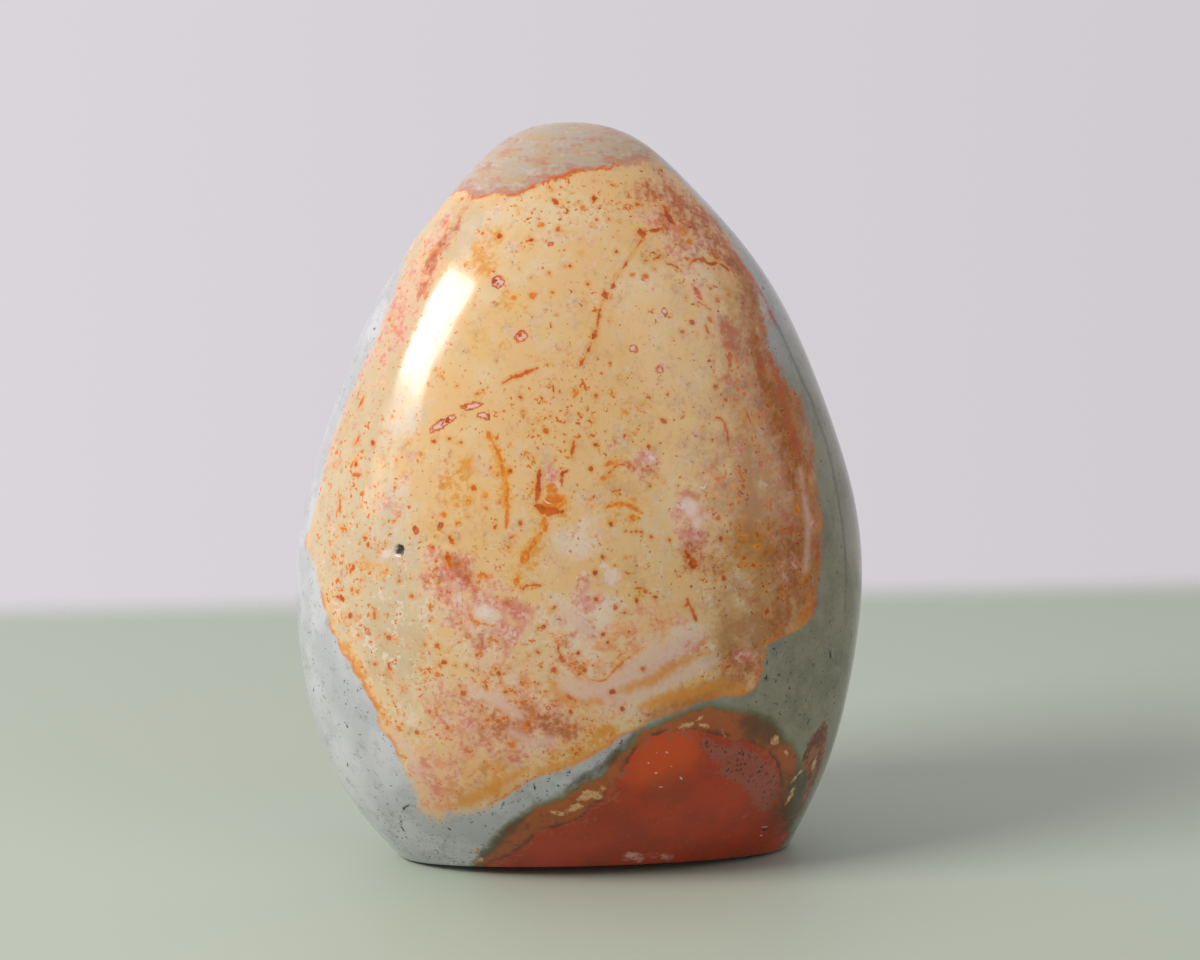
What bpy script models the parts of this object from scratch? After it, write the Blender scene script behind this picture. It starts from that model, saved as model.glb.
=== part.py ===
"""A polished freeform of polychrome jasper: one egg-shaped stone, standing on its sawn base.

Metres, +Z up. The origin is at the base, under the middle of the stone. The show face looks
along -Y, and the stone's long axis seen from above lies along X.
"""

import math

import bmesh
import bpy
import numpy as np
from mathutils import Matrix, Vector

# Height of the stone, and how far its blunt end would reach below the saw cut.
HEIGHT = 0.1093
CUT_OFF = 0.0127

# Outline of the show face: height above the base, reach to the left of the axis, reach to the right.
OUTLINE = (
    (0.000, 0.0274, 0.0319),
    (0.005, 0.0320, 0.0341),
    (0.010, 0.0352, 0.0362),
    (0.020, 0.0395, 0.0397),
    (0.030, 0.0415, 0.0414),
    (0.040, 0.0425, 0.0423),
    (0.050, 0.0414, 0.0415),
    (0.060, 0.0390, 0.0395),
    (0.070, 0.0353, 0.0359),
    (0.080, 0.0315, 0.0314),
    (0.090, 0.0260, 0.0252),
    (0.097, 0.0202, 0.0195),
    (0.103, 0.0150, 0.0135),
    (0.107, 0.0105, 0.0083),
)
WIDTH_TERMS = 8
MIDDLE_TERMS = 5

# A level section is an ellipse with fuller corners, a little deeper in front than behind.
DEPTH_SHARE = 0.645  # half-depth as a share of half-width
DEEPER_FRONT = 0.015
FULL_CORNERS = 0.04
SOFTER_FRONT = 0.008
FOOT_NARROWING = 0.74  # how much the depth share falls towards the base
FOOT_TURN = 5  # how late and how quickly it falls
LEAN_BACK = 0.0015  # the tip stands this far behind the middle of the base

# The front of the base was ground a second time, so its lip is clear of the surface it stands on.
FACET_START = 0.004  # distance of that facet's edge in front of the origin
FACET_TILT = math.radians(7.5)
RIM_WEAR = 0.0004  # width of the worn edge round the base
RIM_WEAR_STEPS = 2
SHARP_EDGE = math.radians(35)

# Open pits in the polished face: height, turn from +X, half-sizes, and how far each is sunk.
PITS = {
    "pit_left": {"height": 0.0510, "turn": -131, "half": (0.0009, 0.0012, 0.0009), "sunk": 0.0003},
    "pit_low_right": {"height": 0.0060, "turn": -44, "half": (0.0010, 0.0007, 0.0006), "sunk": 0.0001},
}

STONE_COLOUR = (0.62, 0.42, 0.22, 1.0)
STONE_ROUGHNESS = 0.12
SPHERE_STEPS = 5  # subdivisions of the icosphere that the stone is shaped from
PIT_STEPS = 3

MIDDLE = (HEIGHT - CUT_OFF) / 2
HALF_LENGTH = (HEIGHT + CUT_OFF) / 2


def outline_terms():
    """Polynomials in w (-1 at the blunt end, 1 at the tip): fullness beyond a circle, and middle in X."""
    height, left, right = np.transpose(OUTLINE)
    w = (height - MIDDLE) / HALF_LENGTH
    fullness = (left + right) / 2 / np.sqrt(1 - w * w)
    return np.polyfit(w, fullness, WIDTH_TERMS), np.polyfit(w, (right - left) / 2, MIDDLE_TERMS)


FULLNESS, MIDDLE_X = outline_terms()


def level(w):
    """Half-width, middle in X and middle in Y of the level section at w."""
    half_width = math.sqrt(max(0.0, 1 - w * w)) * np.polyval(FULLNESS, w)
    return half_width, np.polyval(MIDDLE_X, w), LEAN_BACK * w * abs(w)


def surface(w, turn):
    """The point of the stone's surface at w, at an angle from +X seen from above."""
    half_width, middle_x, middle_y = level(w)
    across, along = math.cos(turn), math.sin(turn)
    corner = 1 + (FULL_CORNERS + SOFTER_FRONT * along) * math.sin(2 * turn) ** 2
    share = DEPTH_SHARE - DEEPER_FRONT * along - FOOT_NARROWING * max(0.0, -w) ** FOOT_TURN
    x = middle_x + half_width * corner * across
    y = middle_y + half_width * corner * share * along
    return Vector((x, y, MIDDLE + HALF_LENGTH * w))


def cut(mesh, point, outward):
    """Removes what lies past a plane and closes the cut with one flat face."""
    everything = mesh.verts[:] + mesh.edges[:] + mesh.faces[:]
    made = bmesh.ops.bisect_plane(mesh, geom=everything, plane_co=point, plane_no=outward, clear_outer=True)
    rim = [item for item in made["geom_cut"] if isinstance(item, bmesh.types.BMEdge)]
    bmesh.ops.contextual_create(mesh, geom=rim)


def stone_mesh():
    """The egg, cut flat below, with the second facet under its front and a worn rim round both."""
    mesh = bmesh.new()
    bmesh.ops.create_icosphere(mesh, subdivisions=SPHERE_STEPS, radius=1.0)
    for vertex in mesh.verts:
        vertex.co = surface(vertex.co.z, math.atan2(vertex.co.y, vertex.co.x))
    cut(mesh, Vector((0, 0, 0)), Vector((0, 0, -1)))
    facet_out = Vector((0, -math.sin(FACET_TILT), -math.cos(FACET_TILT)))
    cut(mesh, Vector((0, -FACET_START, 0)), facet_out)
    bmesh.ops.recalc_face_normals(mesh, faces=mesh.faces)
    rim = [edge for edge in mesh.edges if edge.calc_face_angle(0) > SHARP_EDGE]
    bmesh.ops.bevel(mesh, geom=rim, offset=RIM_WEAR, segments=RIM_WEAR_STEPS, affect="EDGES", profile=0.5)
    return mesh


def centred(mesh):
    """Moves the mesh so that the origin is under the middle of its box."""
    xs = [vertex.co.x for vertex in mesh.verts]
    ys = [vertex.co.y for vertex in mesh.verts]
    shift = Vector((-(min(xs) + max(xs)) / 2, -(min(ys) + max(ys)) / 2, 0))
    bmesh.ops.translate(mesh, verts=mesh.verts, vec=shift)
    return shift


def new_object(name, mesh, collection):
    data = bpy.data.meshes.new(name)
    mesh.to_mesh(data)
    mesh.free()
    data.shade_smooth()
    data.set_sharp_from_angle(angle=SHARP_EDGE)
    thing = bpy.data.objects.new(name, data)
    collection.objects.link(thing)
    return thing


def new_collection(name):
    collection = bpy.data.collections.new(name)
    bpy.context.scene.collection.children.link(collection)
    return collection


def stone_material():
    material = bpy.data.materials.new("polished_jasper")
    material.use_nodes = True
    shader = material.node_tree.nodes["Principled BSDF"]
    shader.inputs["Base Color"].default_value = STONE_COLOUR
    shader.inputs["Roughness"].default_value = STONE_ROUGHNESS
    shader.inputs["Metallic"].default_value = 0.0
    return material


def add_pit(stone, name, pit, shift, collection):
    """Sinks one small open pit into the show face, with a rounded cutter."""
    mesh = bmesh.new()
    bmesh.ops.create_icosphere(mesh, subdivisions=PIT_STEPS, radius=1.0)
    turn = math.radians(pit["turn"])
    mouth = surface((pit["height"] - MIDDLE) / HALF_LENGTH, turn)
    place = mouth + shift - pit["sunk"] * Vector((math.cos(turn), math.sin(turn), 0))
    bmesh.ops.transform(mesh, verts=mesh.verts, matrix=Matrix.LocRotScale(place, None, pit["half"]))
    cutter = new_object(name, mesh, collection)
    cutter.hide_render = True
    cutter.display_type = "WIRE"
    hole = stone.modifiers.new(name, "BOOLEAN")
    hole.operation = "DIFFERENCE"
    hole.solver = "EXACT"
    hole.object = cutter


def main():
    for thing in list(bpy.data.objects):
        bpy.data.objects.remove(thing, do_unlink=True)
    parts = new_collection("polychrome_jasper")
    cutters = new_collection("cutters")
    mesh = stone_mesh()
    shift = centred(mesh)
    stone = new_object("jasper_stone", mesh, parts)
    stone.data.materials.append(stone_material())
    for name, pit in PITS.items():
        add_pit(stone, name, pit, shift, cutters)


main()
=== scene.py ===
"""The looks of a polished polychrome jasper.

A cream and tan field full of rust dots covers the show face. It has a pink cap at the tip, a brick-red
dome at the foot, and grey stone round it, pale and bluish on the left and greenish on the right.
What the 1200x960 picture shows of the pattern is set down in its pixels and cast from the camera onto
the stone. What it doesn't show is set down by turn and height. The shader works from each point's
distance to the outlines, marks and washes, in millimetres, and from noise.
"""

import math

import bmesh
import bpy
import numpy as np
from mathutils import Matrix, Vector
from mathutils.bvhtree import BVHTree
from mathutils.kdtree import KDTree


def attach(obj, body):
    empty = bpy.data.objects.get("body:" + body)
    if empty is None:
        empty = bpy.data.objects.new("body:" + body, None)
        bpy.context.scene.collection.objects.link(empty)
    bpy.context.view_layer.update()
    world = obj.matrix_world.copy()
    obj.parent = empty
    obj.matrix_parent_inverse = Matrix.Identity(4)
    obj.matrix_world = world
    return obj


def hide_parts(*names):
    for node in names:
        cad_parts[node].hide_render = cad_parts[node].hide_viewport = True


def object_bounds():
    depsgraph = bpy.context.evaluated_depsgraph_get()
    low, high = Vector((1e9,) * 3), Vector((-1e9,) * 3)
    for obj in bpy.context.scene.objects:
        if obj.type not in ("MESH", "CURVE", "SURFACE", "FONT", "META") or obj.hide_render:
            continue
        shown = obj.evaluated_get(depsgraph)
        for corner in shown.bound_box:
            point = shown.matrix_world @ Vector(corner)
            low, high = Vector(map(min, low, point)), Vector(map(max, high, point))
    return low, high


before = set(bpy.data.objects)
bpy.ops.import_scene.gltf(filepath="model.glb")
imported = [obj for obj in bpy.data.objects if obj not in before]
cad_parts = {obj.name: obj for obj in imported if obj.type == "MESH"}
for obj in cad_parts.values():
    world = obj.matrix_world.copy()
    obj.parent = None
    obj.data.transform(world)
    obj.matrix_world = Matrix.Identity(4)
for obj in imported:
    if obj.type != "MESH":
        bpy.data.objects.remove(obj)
CAD_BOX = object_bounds()
NODE = "jasper_stone"
MM = 0.001

# The stone's shape, as its solid has it: height, and how far its blunt end would reach below the cut.
HEIGHT = 0.1093
CUT_OFF = 0.0127
OUTLINE = (
    (0.000, 0.0274, 0.0319),
    (0.005, 0.0320, 0.0341),
    (0.010, 0.0352, 0.0362),
    (0.020, 0.0395, 0.0397),
    (0.030, 0.0415, 0.0414),
    (0.040, 0.0425, 0.0423),
    (0.050, 0.0414, 0.0415),
    (0.060, 0.0390, 0.0395),
    (0.070, 0.0353, 0.0359),
    (0.080, 0.0315, 0.0314),
    (0.090, 0.0260, 0.0252),
    (0.097, 0.0202, 0.0195),
    (0.103, 0.0150, 0.0135),
    (0.107, 0.0105, 0.0083),
)
WIDTH_TERMS = 8
MIDDLE_TERMS = 5
DEPTH_SHARE = 0.645
DEEPER_FRONT = 0.015
FULL_CORNERS = 0.04
SOFTER_FRONT = 0.008
FOOT_NARROWING = 0.74
FOOT_TURN = 5
LEAN_BACK = 0.0015
FACET_START = 0.004
FACET_TILT = math.radians(7.5)
WORN_EDGE = 0.0005
MIDDLE = (HEIGHT - CUT_OFF) / 2
HALF_LENGTH = (HEIGHT + CUT_OFF) / 2

# Mesh sizes, in millimetres.
STONE_STEPS = 5  # subdivisions of the sphere that the stone is shaped from
CAST_STEPS = 6  # and of the one that rays are cast at
WIDEST_EDGE = 2.3
ZONE_EDGE = 1.1
SOFT_MARK_EDGE = 0.6
RIM_EDGE = 0.4
RIM_REACH = 0.9
FINEST_EDGE = 0.22
EDGE_GROWTH = 0.6
REFINE_ROUNDS = 5
PATH_STEPS = 4
SAMPLE_STEP = 0.4
MARK_EDGE_SHARE = 0.9  # a sharp mark's edges, as a share of its half-width
WIDEST_MARK_EDGE = 0.5
BASE_MIDDLE = 20.0  # the base needs no short edges nearer to its middle than this
FAR = 9.0  # a zone's depth is measured out to this distance,
MARK_REACH = 3.0  # and a mark's to this one
TINY = 1e-12

# The fine grid of directions that the box of the uncut stone is found with.
GRID_TURNS = 721
GRID_LEVELS = 281
GRID_TOP = 0.7

# The map for baking: its name, and the parts of its width that the front and the back take. The back's
# part runs from right to left, so that neither is mirrored.
BAKE_MAP = "OFBake"
FRONT_PART = (0.015, 0.6)
BACK_PART = (0.985, 0.63)
BAKE_MARGIN = 0.02

# The camera: degrees round from the front and up, metres from its aim, and the lens.
CAMERA_TURN = math.radians(-6)
CAMERA_RISE = math.radians(10)
CAMERA_DISTANCE = 0.42056
CAMERA_AIM = (0.002903, 0.056609)  # to the right of the axis, and up
LENS = 85.0
SENSOR = 36.0
PICTURE = (1200, 960)

# Outlines of the pattern's zones. What the picture shows is in its pixels; what it doesn't is in turns
# from +X, in degrees, and heights, in millimetres.
FIELD_SEEN = (
    (466, 176), (446, 198), (430, 216), (417, 235), (407, 254), (399, 274), (392, 295), (385, 315),
    (376, 336), (366, 358), (354, 382), (343, 408), (332, 438), (324, 467), (316, 498), (309, 528),
    (305, 544), (310, 556), (317, 581), (323, 600), (327, 614), (330, 626), (337, 637), (342, 652),
    (349, 659), (354, 669), (359, 678), (366, 690), (373, 702), (376, 710), (379, 721), (383, 731),
    (392, 741), (397, 752), (399, 763), (404, 775), (411, 788), (416, 803), (422, 814), (435, 822),
    (447, 822), (455, 815), (472, 815), (483, 814), (499, 800), (519, 786), (537, 775), (555, 770),
    (571, 765), (586, 758), (600, 749), (614, 740), (626, 733), (640, 728), (650, 721), (674, 713),
    (693, 704), (719, 697), (738, 695), (752, 690), (758, 679), (764, 661), (768, 646), (780, 636),
    (796, 629), (809, 617), (817, 590), (820, 560), (822, 530), (820, 500), (813, 453), (807, 420),
    (798, 395), (785, 375), (777, 360), (769, 341), (766, 310), (760, 291), (746, 263), (731, 240),
    (715, 217), (697, 196), (678, 176), (660, 160),
)
FIELD_BEHIND = ((30, 103), (90, 104), (150, 103))
CAP_SEEN = (
    (466, 192), (474, 198), (482, 197), (490, 196), (499, 193), (508, 195), (516, 195), (525, 191),
    (533, 187), (547, 181), (555, 178), (563, 177), (568, 174), (572, 172), (583, 171), (595, 170),
    (612, 167), (630, 166), (648, 160), (660, 158),
)
CAP_BEHIND = ((20, 99), (50, 94), (90, 96), (130, 93), (160, 97))
DOME_SEEN = (
    (476, 866), (494, 846), (504, 832), (520, 818), (537, 807), (551, 801), (564, 796), (573, 788),
    (582, 783), (592, 780), (602, 775), (608, 767), (614, 759), (620, 753), (627, 747), (634, 738),
    (642, 732), (655, 726), (668, 720), (681, 715), (693, 710), (706, 706), (716, 706), (727, 709),
    (738, 711), (750, 713), (765, 720), (778, 731), (789, 745), (797, 757), (799, 768), (794, 778),
    (790, 788), (789, 800), (790, 812), (791, 826), (789, 838),
)
DOME_UNDER = ((26, -6), (16, 3), (0, 6), (-12, 0), (-16, -6))  # across and along the base, in millimetres
CORE_SEEN = (
    (486, 868), (502, 858), (512, 853), (524, 845), (534, 836), (545, 829), (558, 826), (570, 823),
    (582, 817), (590, 808), (598, 802), (606, 795), (611, 788), (618, 779), (622, 772), (627, 764),
    (632, 754), (640, 745), (651, 737), (666, 732), (684, 732), (702, 731), (727, 736), (745, 740),
    (756, 744), (769, 753), (778, 766), (781, 780), (780, 795), (783, 812), (786, 828), (785, 840),
)
CORE_UNDER = ((23, -6), (14, 1), (0, 3), (-10, -2), (-14, -7))
MAUVE_SEEN = (
    (694, 738), (705, 739), (722, 743), (738, 745), (752, 748), (765, 756), (774, 768), (777, 782),
    (776, 796), (771, 809), (763, 811), (756, 808), (751, 797), (744, 789), (740, 784), (731, 780),
    (724, 777), (720, 771), (717, 764), (710, 754), (701, 746),
)
SLIVER_SEEN = (
    (824, 721), (817, 730), (809, 739), (805, 750), (802, 759), (803, 768), (808, 776), (806, 788),
    (802, 800), (800, 810), (806, 800), (812, 788), (818, 774), (823, 760), (826, 745), (827, 730),
)
BACK_FIELD = (
    (41, 82), (49, 91), (61, 88), (74, 93), (92, 89), (107, 92), (121, 84), (127, 75), (141, 70),
    (149, 59), (142, 51), (144, 42), (131, 33), (120, 36), (108, 27), (97, 31), (90, 42), (79, 43),
    (70, 52), (57, 49), (47, 54), (42, 50), (35, 59), (39, 70), (33, 76),
)
BACK_PATCH = (
    (59, 16), (65, 21), (74, 24), (83, 29), (91, 34), (99, 25), (105, 10), (96, 1), (78, -1),
    (64, 0), (56, 8),
)
BACK_CORE = ((64, 13), (71, 17), (80, 21), (89, 27), (95, 17), (98, 6), (84, 2), (72, 3), (63, 7))

# Single marks, by their colour: half-width in millimetres, and the pixels that each runs through. A name
# in the plural has a list of marks.
MARKS = {
    "rust": {
        "crack_head": (0.55, (641, 230), (643, 237)),
        "crack_smear": (0.28, (650, 231), (662, 229)),
        "crack_upper": (0.04, (642, 240), (634, 251), (625, 265), (617, 278)),
        "crack_knot": (0.3, (614, 283), (612, 288)),
        "crack_block": (0.45, (605, 291), (606, 299)),
        "crack_middle": (0.08, (603, 300), (599, 313), (597, 328)),
        "crack_wedge": (0.33, (596, 331), (593, 339)),
        "crack_low": (0.03, (592, 342), (587, 353), (580, 366)),
        "pin_top": (0.12, (549, 186), (553, 191)),
        "dash_top": (0.3, (552, 199), (558, 204)),
        "dot_top": (0.33, (594, 198)),
        "streak_top": (0.4, (664, 206), (669, 218), (675, 224)),
        "squiggle": (0.27, (688, 269), (692, 262), (701, 259), (710, 264), (719, 263), (728, 270)),
        "squiggle_knot": (0.4, (699, 259), (704, 260)),
        "short_right_up": (0.22, (654, 259), (661, 255)),
        "orange_line": (0.16, (667, 264), (673, 265), (681, 270)),
        "slash_right": (0.33, (695, 288), (698, 294), (702, 300)),
        "slash_tail": (0.15, (698, 302), (704, 305), (710, 309)),
        "dash_right": (0.24, (706, 326), (709, 334)),
        "drop_right": (0.52, (730, 353), (730, 360)),
        "drop_tail": (0.2, (730, 362), (729, 368)),
        "rod_right": (0.18, (744, 408), (748, 416), (751, 423)),
        "curl_right": (0.2, (715, 418), (720, 418), (724, 424), (727, 432), (729, 445)),
        "wedge_right": (0.3, (767, 404), (770, 411)),
        "rod_left_of_curl": (0.3, (660, 418), (665, 422)),
        "tick_right": (0.2, (735, 468), (739, 471), (742, 479)),
        "rod_far_right": (0.2, (771, 499), (771, 510)),
        "stroke_low_right": (0.25, (687, 599), (691, 608), (696, 620)),
        "stroke_low_right_side": (0.3, (684, 605), (687, 606)),
        "blot_lower_right": (0.35, (768, 609), (766, 614)),
        "blot_under_white": (0.55, (691, 561), (695, 566)),
        "thin_under_white": (0.16, (685, 550), (689, 557), (692, 562)),
        "knot_under_white": (0.38, (722, 577), (725, 580)),
        "long_mark": (0.2, (503, 383), (512, 378), (523, 374), (537, 368)),
        "rod_centre": (0.2, (574, 441), (573, 450), (571, 458)),
        "thin_arch": (0.1, (606, 477), (611, 471), (616, 466), (623, 464)),
        "arc_low": (0.13, (521, 591), (527, 586), (540, 585)),
        "rod_low": (0.17, (558, 646), (560, 654), (563, 662)),
        "dash_low": (0.27, (551, 613), (555, 607)),
        "blotch_left_side": (0.42, (539, 470), (538, 486), (537, 502)),
        "blotch_right_side": (0.24, (562, 485), (562, 474), (567, 471)),
        "blotch_foot": (0.6, (537, 506), (546, 510), (561, 512)),
        "tick_left_white": (0.35, (447, 553), (450, 566)),
        "left_rod_high": (0.35, (363, 399), (359, 407)),
        "left_rod": (0.3, (359, 437), (355, 445)),
        "left_dash": (0.3, (353, 475), (361, 475)),
        "left_upright": (0.28, (340, 500), (340, 513)),
        "left_slash": (0.33, (354, 565), (350, 573)),
        "left_knot": (0.35, (375, 611), (374, 618)),
        "left_comma": (0.25, (388, 664), (390, 669)),
        "left_edge_knot": (0.4, (338, 597), (344, 599)),
        "triangle": (0.32, (449, 537), (454, 544)),
        "tail_low_left": (0.2, (566, 694), (571, 698), (576, 701)),
    },
    "smear": {
        "rust_of_white": (0.5, (679, 494), (688, 493), (697, 497)),
        "rust_of_white_side": (0.4, (682, 510), (685, 521)),
        "rust_under_mauve": (0.26, (627, 464), (637, 467), (647, 470), (657, 472)),
        "blot_low_right": (0.5, (755, 597), (756, 605)),
        "hook_right": (0.42, (721, 381), (725, 377), (731, 380), (733, 384)),
        "slab_side": (0.5, (684, 516), (692, 532), (700, 545)),
        "streak_top_far": (0.45, (659, 183), (672, 192), (684, 202)),
        "cluster_right": (0.9, (722, 325), (730, 328), (736, 336)),
        "cluster_tail": (0.3, (724, 343), (729, 345), (735, 347)),
        "edge_streak_high": (0.6, (700, 207), (711, 218), (720, 229)),
        "edge_streak_mid": (0.7, (716, 236), (730, 250), (744, 268), (757, 286), (766, 302), (774, 322)),
        "edge_streak_low": (0.8, (768, 352), (776, 375), (783, 400), (790, 425), (797, 452)),
        "edge_blot": (0.8, (757, 364), (764, 369)),
        "smear_heart": (0.4, (436, 566), (446, 586), (462, 602)),
        "smear_low_side": (0.3, (458, 624), (470, 636), (484, 646)),
        "smear_rim": (0.5, (444, 556), (450, 564), (458, 572), (468, 582), (480, 590)),
        "smear_rim_low": (0.4, (490, 596), (500, 601), (512, 606), (530, 610)),
        "left_smear": (0.3, (448, 247), (438, 253), (432, 262), (430, 276), (423, 287)),
        "left_smear_low": (0.3, (421, 291), (418, 300)),
        "corner_glow": (0.8, (803, 617), (810, 610), (814, 601)),
        "rust_fan": (0.3, (566, 738), (572, 733), (580, 728)),
        "rust_fan_side": (0.22, (573, 733), (572, 726)),
        "loop_far_right": (0.35, (785, 514), (789, 524), (795, 532)),
        "edge_line": (0.4, (812, 500), (817, 530), (818, 560), (814, 590), (806, 612)),
        "edge_streak_far": (0.5, (800, 400), (806, 425), (812, 450), (806, 480), (806, 500)),
    },
    "amber": {
        "swirl_wave": (0.42, (574, 700), (585, 703), (594, 701), (602, 703)),
        "swirl_stripe": (0.75, (622, 690), (636, 686), (652, 680), (668, 670), (684, 661), (706, 652)),
        "edge_glow": (0.55, (537, 772), (553, 768), (569, 763), (585, 756), (600, 747)),
        "edge_glow_right": (0.8, (594, 740), (602, 733), (612, 728)),
        "edge_glow_far": (0.6, (718, 692), (734, 691), (748, 686)),
        "smear_left": (0.6, (472, 457), (466, 466), (473, 471)),
        "yellow_left": (0.5, (365, 562), (369, 567)),
        "edge_orange": (0.5, (343, 645), (347, 652)),
        "edge_orange_low": (0.5, (356, 671), (361, 678)),
        "swirl_foot": (0.8, (640, 708), (668, 698), (700, 690), (730, 680)),
        "swirl_start": (0.6, (554, 684), (560, 696), (572, 704)),
        "edge_bottom": (0.9, (452, 806), (470, 800), (500, 784), (524, 770)),
        "corner": (0.9, (796, 626), (806, 614), (813, 598)),
    },
    # Painted highlights: tiny white glints by the pit, on the chip's rims, on the dome and on a few other
    # spots.
    "glint": {
        "blotch_line": (0.08, (543, 497), (546, 502), (552, 504)),
        "glint_hook": (0.1, (700, 487), (704, 488), (706, 484)),
        "dome_glints": [
            (0.07, (656, 752), (657, 753)), (0.06, (666, 752), (668, 753)), (0.1, (655, 773), (657, 773)),
            (0.08, (680, 777), (682, 779)), (0.07, (659, 787), (663, 787)), (0.05, (648, 763), (649, 763)),
            (0.05, (671, 766), (672, 767)),
        ],
        "chip_rim_glints": [
            (0.1, (762, 827), (768, 827)), (0.1, (760, 835), (762, 836)),
        ],
        "pit_glint": (0.13, (395, 555), (398, 556)),
        "pit_glint_high": (0.08, (401, 553), (402, 551)),
        "left_pin": (0.06, (428, 625)),
    },
    "stripe": {
        "swirl": (1.7, (558, 690), (584, 692), (606, 690), (624, 680), (644, 668), (668, 652), (696, 634)),
        "swirl_under": (0.8, (600, 706), (630, 698), (660, 686), (690, 672), (716, 660)),
        "swirl_over": (0.6, (560, 676), (580, 684), (600, 686), (618, 676), (634, 660)),
        "low_left": (0.9, (470, 690), (496, 700), (520, 716)),
        "low_left_under": (0.7, (508, 730), (530, 742), (556, 740)),
        "low_mid": (0.9, (556, 604), (576, 620), (590, 636)),
        "corner": (0.6, (392, 730), (410, 752), (420, 780)),
        "right": (0.5, (800, 470), (808, 520), (806, 570)),
    },
    "ochre": {
        "crescent_head": (0.5, (487, 432), (492, 440)),
        "crescent": (0.37, (491, 438), (498, 453), (503, 470), (506, 490), (507, 510), (506, 528)),
        "low_line": (0.13, (488, 806), (505, 795), (520, 786), (537, 776), (556, 770), (572, 764)),
        "low_line_right": (0.1, (586, 757), (602, 748), (616, 739)),
        "blotch": (1.2, (548, 500), (553, 503), (560, 499)),
        "blotch_top": (0.8, (548, 488), (556, 490)),
        "blotch_side": (0.7, (560, 505), (563, 497)),
        "trail_knot": (0.65, (544, 519), (545, 530)),
        "trail": (0.4, (541, 533), (534, 542), (529, 551)),
        "trail_patch": (0.75, (527, 552), (522, 563)),
        "trail_end": (0.35, (518, 577), (515, 586)),
        "arch_high": (0.35, (604, 466), (610, 463), (617, 463)),
        "arch_high_foot": (0.35, (602, 478), (604, 478)),
        "arch_low": (0.27, (606, 508), (613, 505), (624, 504), (635, 509), (643, 514)),
        "arch_low_core": (0.5, (630, 517), (637, 519)),
        "smile": (0.22, (712, 476), (718, 479), (725, 476), (726, 470)),
        "rust_tie": (0.4, (478, 577), (484, 576), (490, 577)),
        "orange_block": (0.5, (531, 294), (534, 297)),
        "swirl_line": (0.2, (586, 677), (593, 680), (602, 681), (610, 675), (624, 661), (639, 650)),
        "swirl_branch": (0.16, (615, 660), (621, 654), (626, 652), (627, 646)),
        "white_hem": (0.2, (469, 609), (470, 617), (475, 622), (488, 625)),
        "yellow_left_high": (0.35, (355, 461), (357, 466)),
        "orange_right_up": (0.4, (683, 229), (683, 236)),
        "orange_knot_up": (0.5, (688, 241), (692, 243)),
        "orange_low_right": (0.4, (754, 546), (760, 546)),
        "orange_bar_right": (0.3, (738, 536), (746, 536)),
        "orange_far_right": (0.4, (797, 506), (797, 513)),
        "orange_fleck": (0.28, (622, 409), (627, 413)),
        "orange_twig": (0.25, (575, 389), (574, 396), (578, 393)),
    },
    "rimmed": {
        "inclusion_left": (0.62, (431, 431), (438, 426), (446, 422), (455, 417)),
        "inclusion_high": (0.48, (461, 407), (468, 407), (475, 405), (481, 405)),
        "inclusion_right": (0.5, (478, 415), (484, 416), (488, 418)),
        "inclusion_top": (0.9, (495, 280), (501, 284)),
        "inclusion_mid": (0.85, (519, 334), (523, 339)),
        "inclusion_far": (0.6, (632, 346), (635, 351)),
        "inclusion_white": (0.45, (664, 309), (665, 315)),
        "inclusion_low": (0.6, (657, 369), (662, 370)),
        "ring_left": (0.45, (440, 524), (440, 528)),
        "ring_left_low": (0.5, (367, 632), (368, 632)),
        "oval_left": (0.42, (416, 527), (416, 533)),
        "ring_lower": (0.3, (548, 709)),
        "ring_right": (0.35, (551, 244)),
    },
    "mauve": {
        "base_chip": (0.35, (626, 858), (632, 855), (640, 860)),
        "base_chip_right": (0.3, (652, 857), (662, 856), (672, 858)),
        "over_blotch": (1.0, (549, 472), (551, 480)),
        "smear_start": (0.9, (444, 566), (452, 578), (460, 592)),
        "smear_mid": (1.0, (470, 590), (484, 597), (498, 605)),
        "smear_end": (0.9, (505, 610), (518, 614), (530, 615)),
        "smear_low": (1.0, (455, 604), (464, 612), (472, 628)),
        "smear_under": (1.3, (500, 628), (512, 636), (506, 644)),
        "smudge": (1.0, (587, 592), (592, 600)),
        "under_white": (0.9, (697, 530), (700, 541)),
        "around_white": (0.6, (682, 500), (679, 510)),
        "patch_high": (0.7, (645, 458), (652, 457)),
        "dot_upper": (0.4, (611, 447)),
        "dot_upper_left": (0.3, (399, 510), (397, 514)),
        "dash_left": (0.28, (409, 471), (404, 479)),
        "dot_left": (0.35, (410, 454), (408, 459)),
        "dot_left_low": (0.35, (378, 506), (379, 510)),
        "dash_left_low": (0.18, (386, 501), (390, 506)),
        "blot_right": (0.7, (741, 446), (738, 452)),
        "blot_right_low": (0.8, (793, 558), (793, 566)),
        "blot_right_lower": (0.6, (787, 576), (785, 581)),
        "streak_right": (0.4, (813, 519), (814, 528)),
        "low_right_clusters": [
            (1.1, (738, 654), (745, 660)), (0.7, (749, 655), (753, 662)), (0.6, (736, 668), (741, 672)),
        ],
        "by_swirl": (0.5, (685, 651), (689, 646)),
        "band_low_left": (0.7, (466, 728), (474, 722)),
    },
    "white": {
        "crystal": (0.95, (610, 573), (614, 580)),
        "crystal_small": (0.38, (603, 565), (605, 568)),
        "patch": (1.0, (478, 611), (485, 612), (493, 615)),
        "patch_left": (0.7, (456, 596), (462, 600)),
        "slab": (1.05, (689, 503), (692, 513)),
        "slab_tail": (0.7, (696, 520), (699, 526)),
        "spot_high": (0.5, (647, 457), (650, 460)),
        "spot_blotch": (0.4, (556, 483), (558, 487)),
        "pit_smear": (0.55, (385, 554), (393, 552)),
        "oval_right": (0.5, (763, 484), (765, 485)),
    },
    "vug": {
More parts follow.
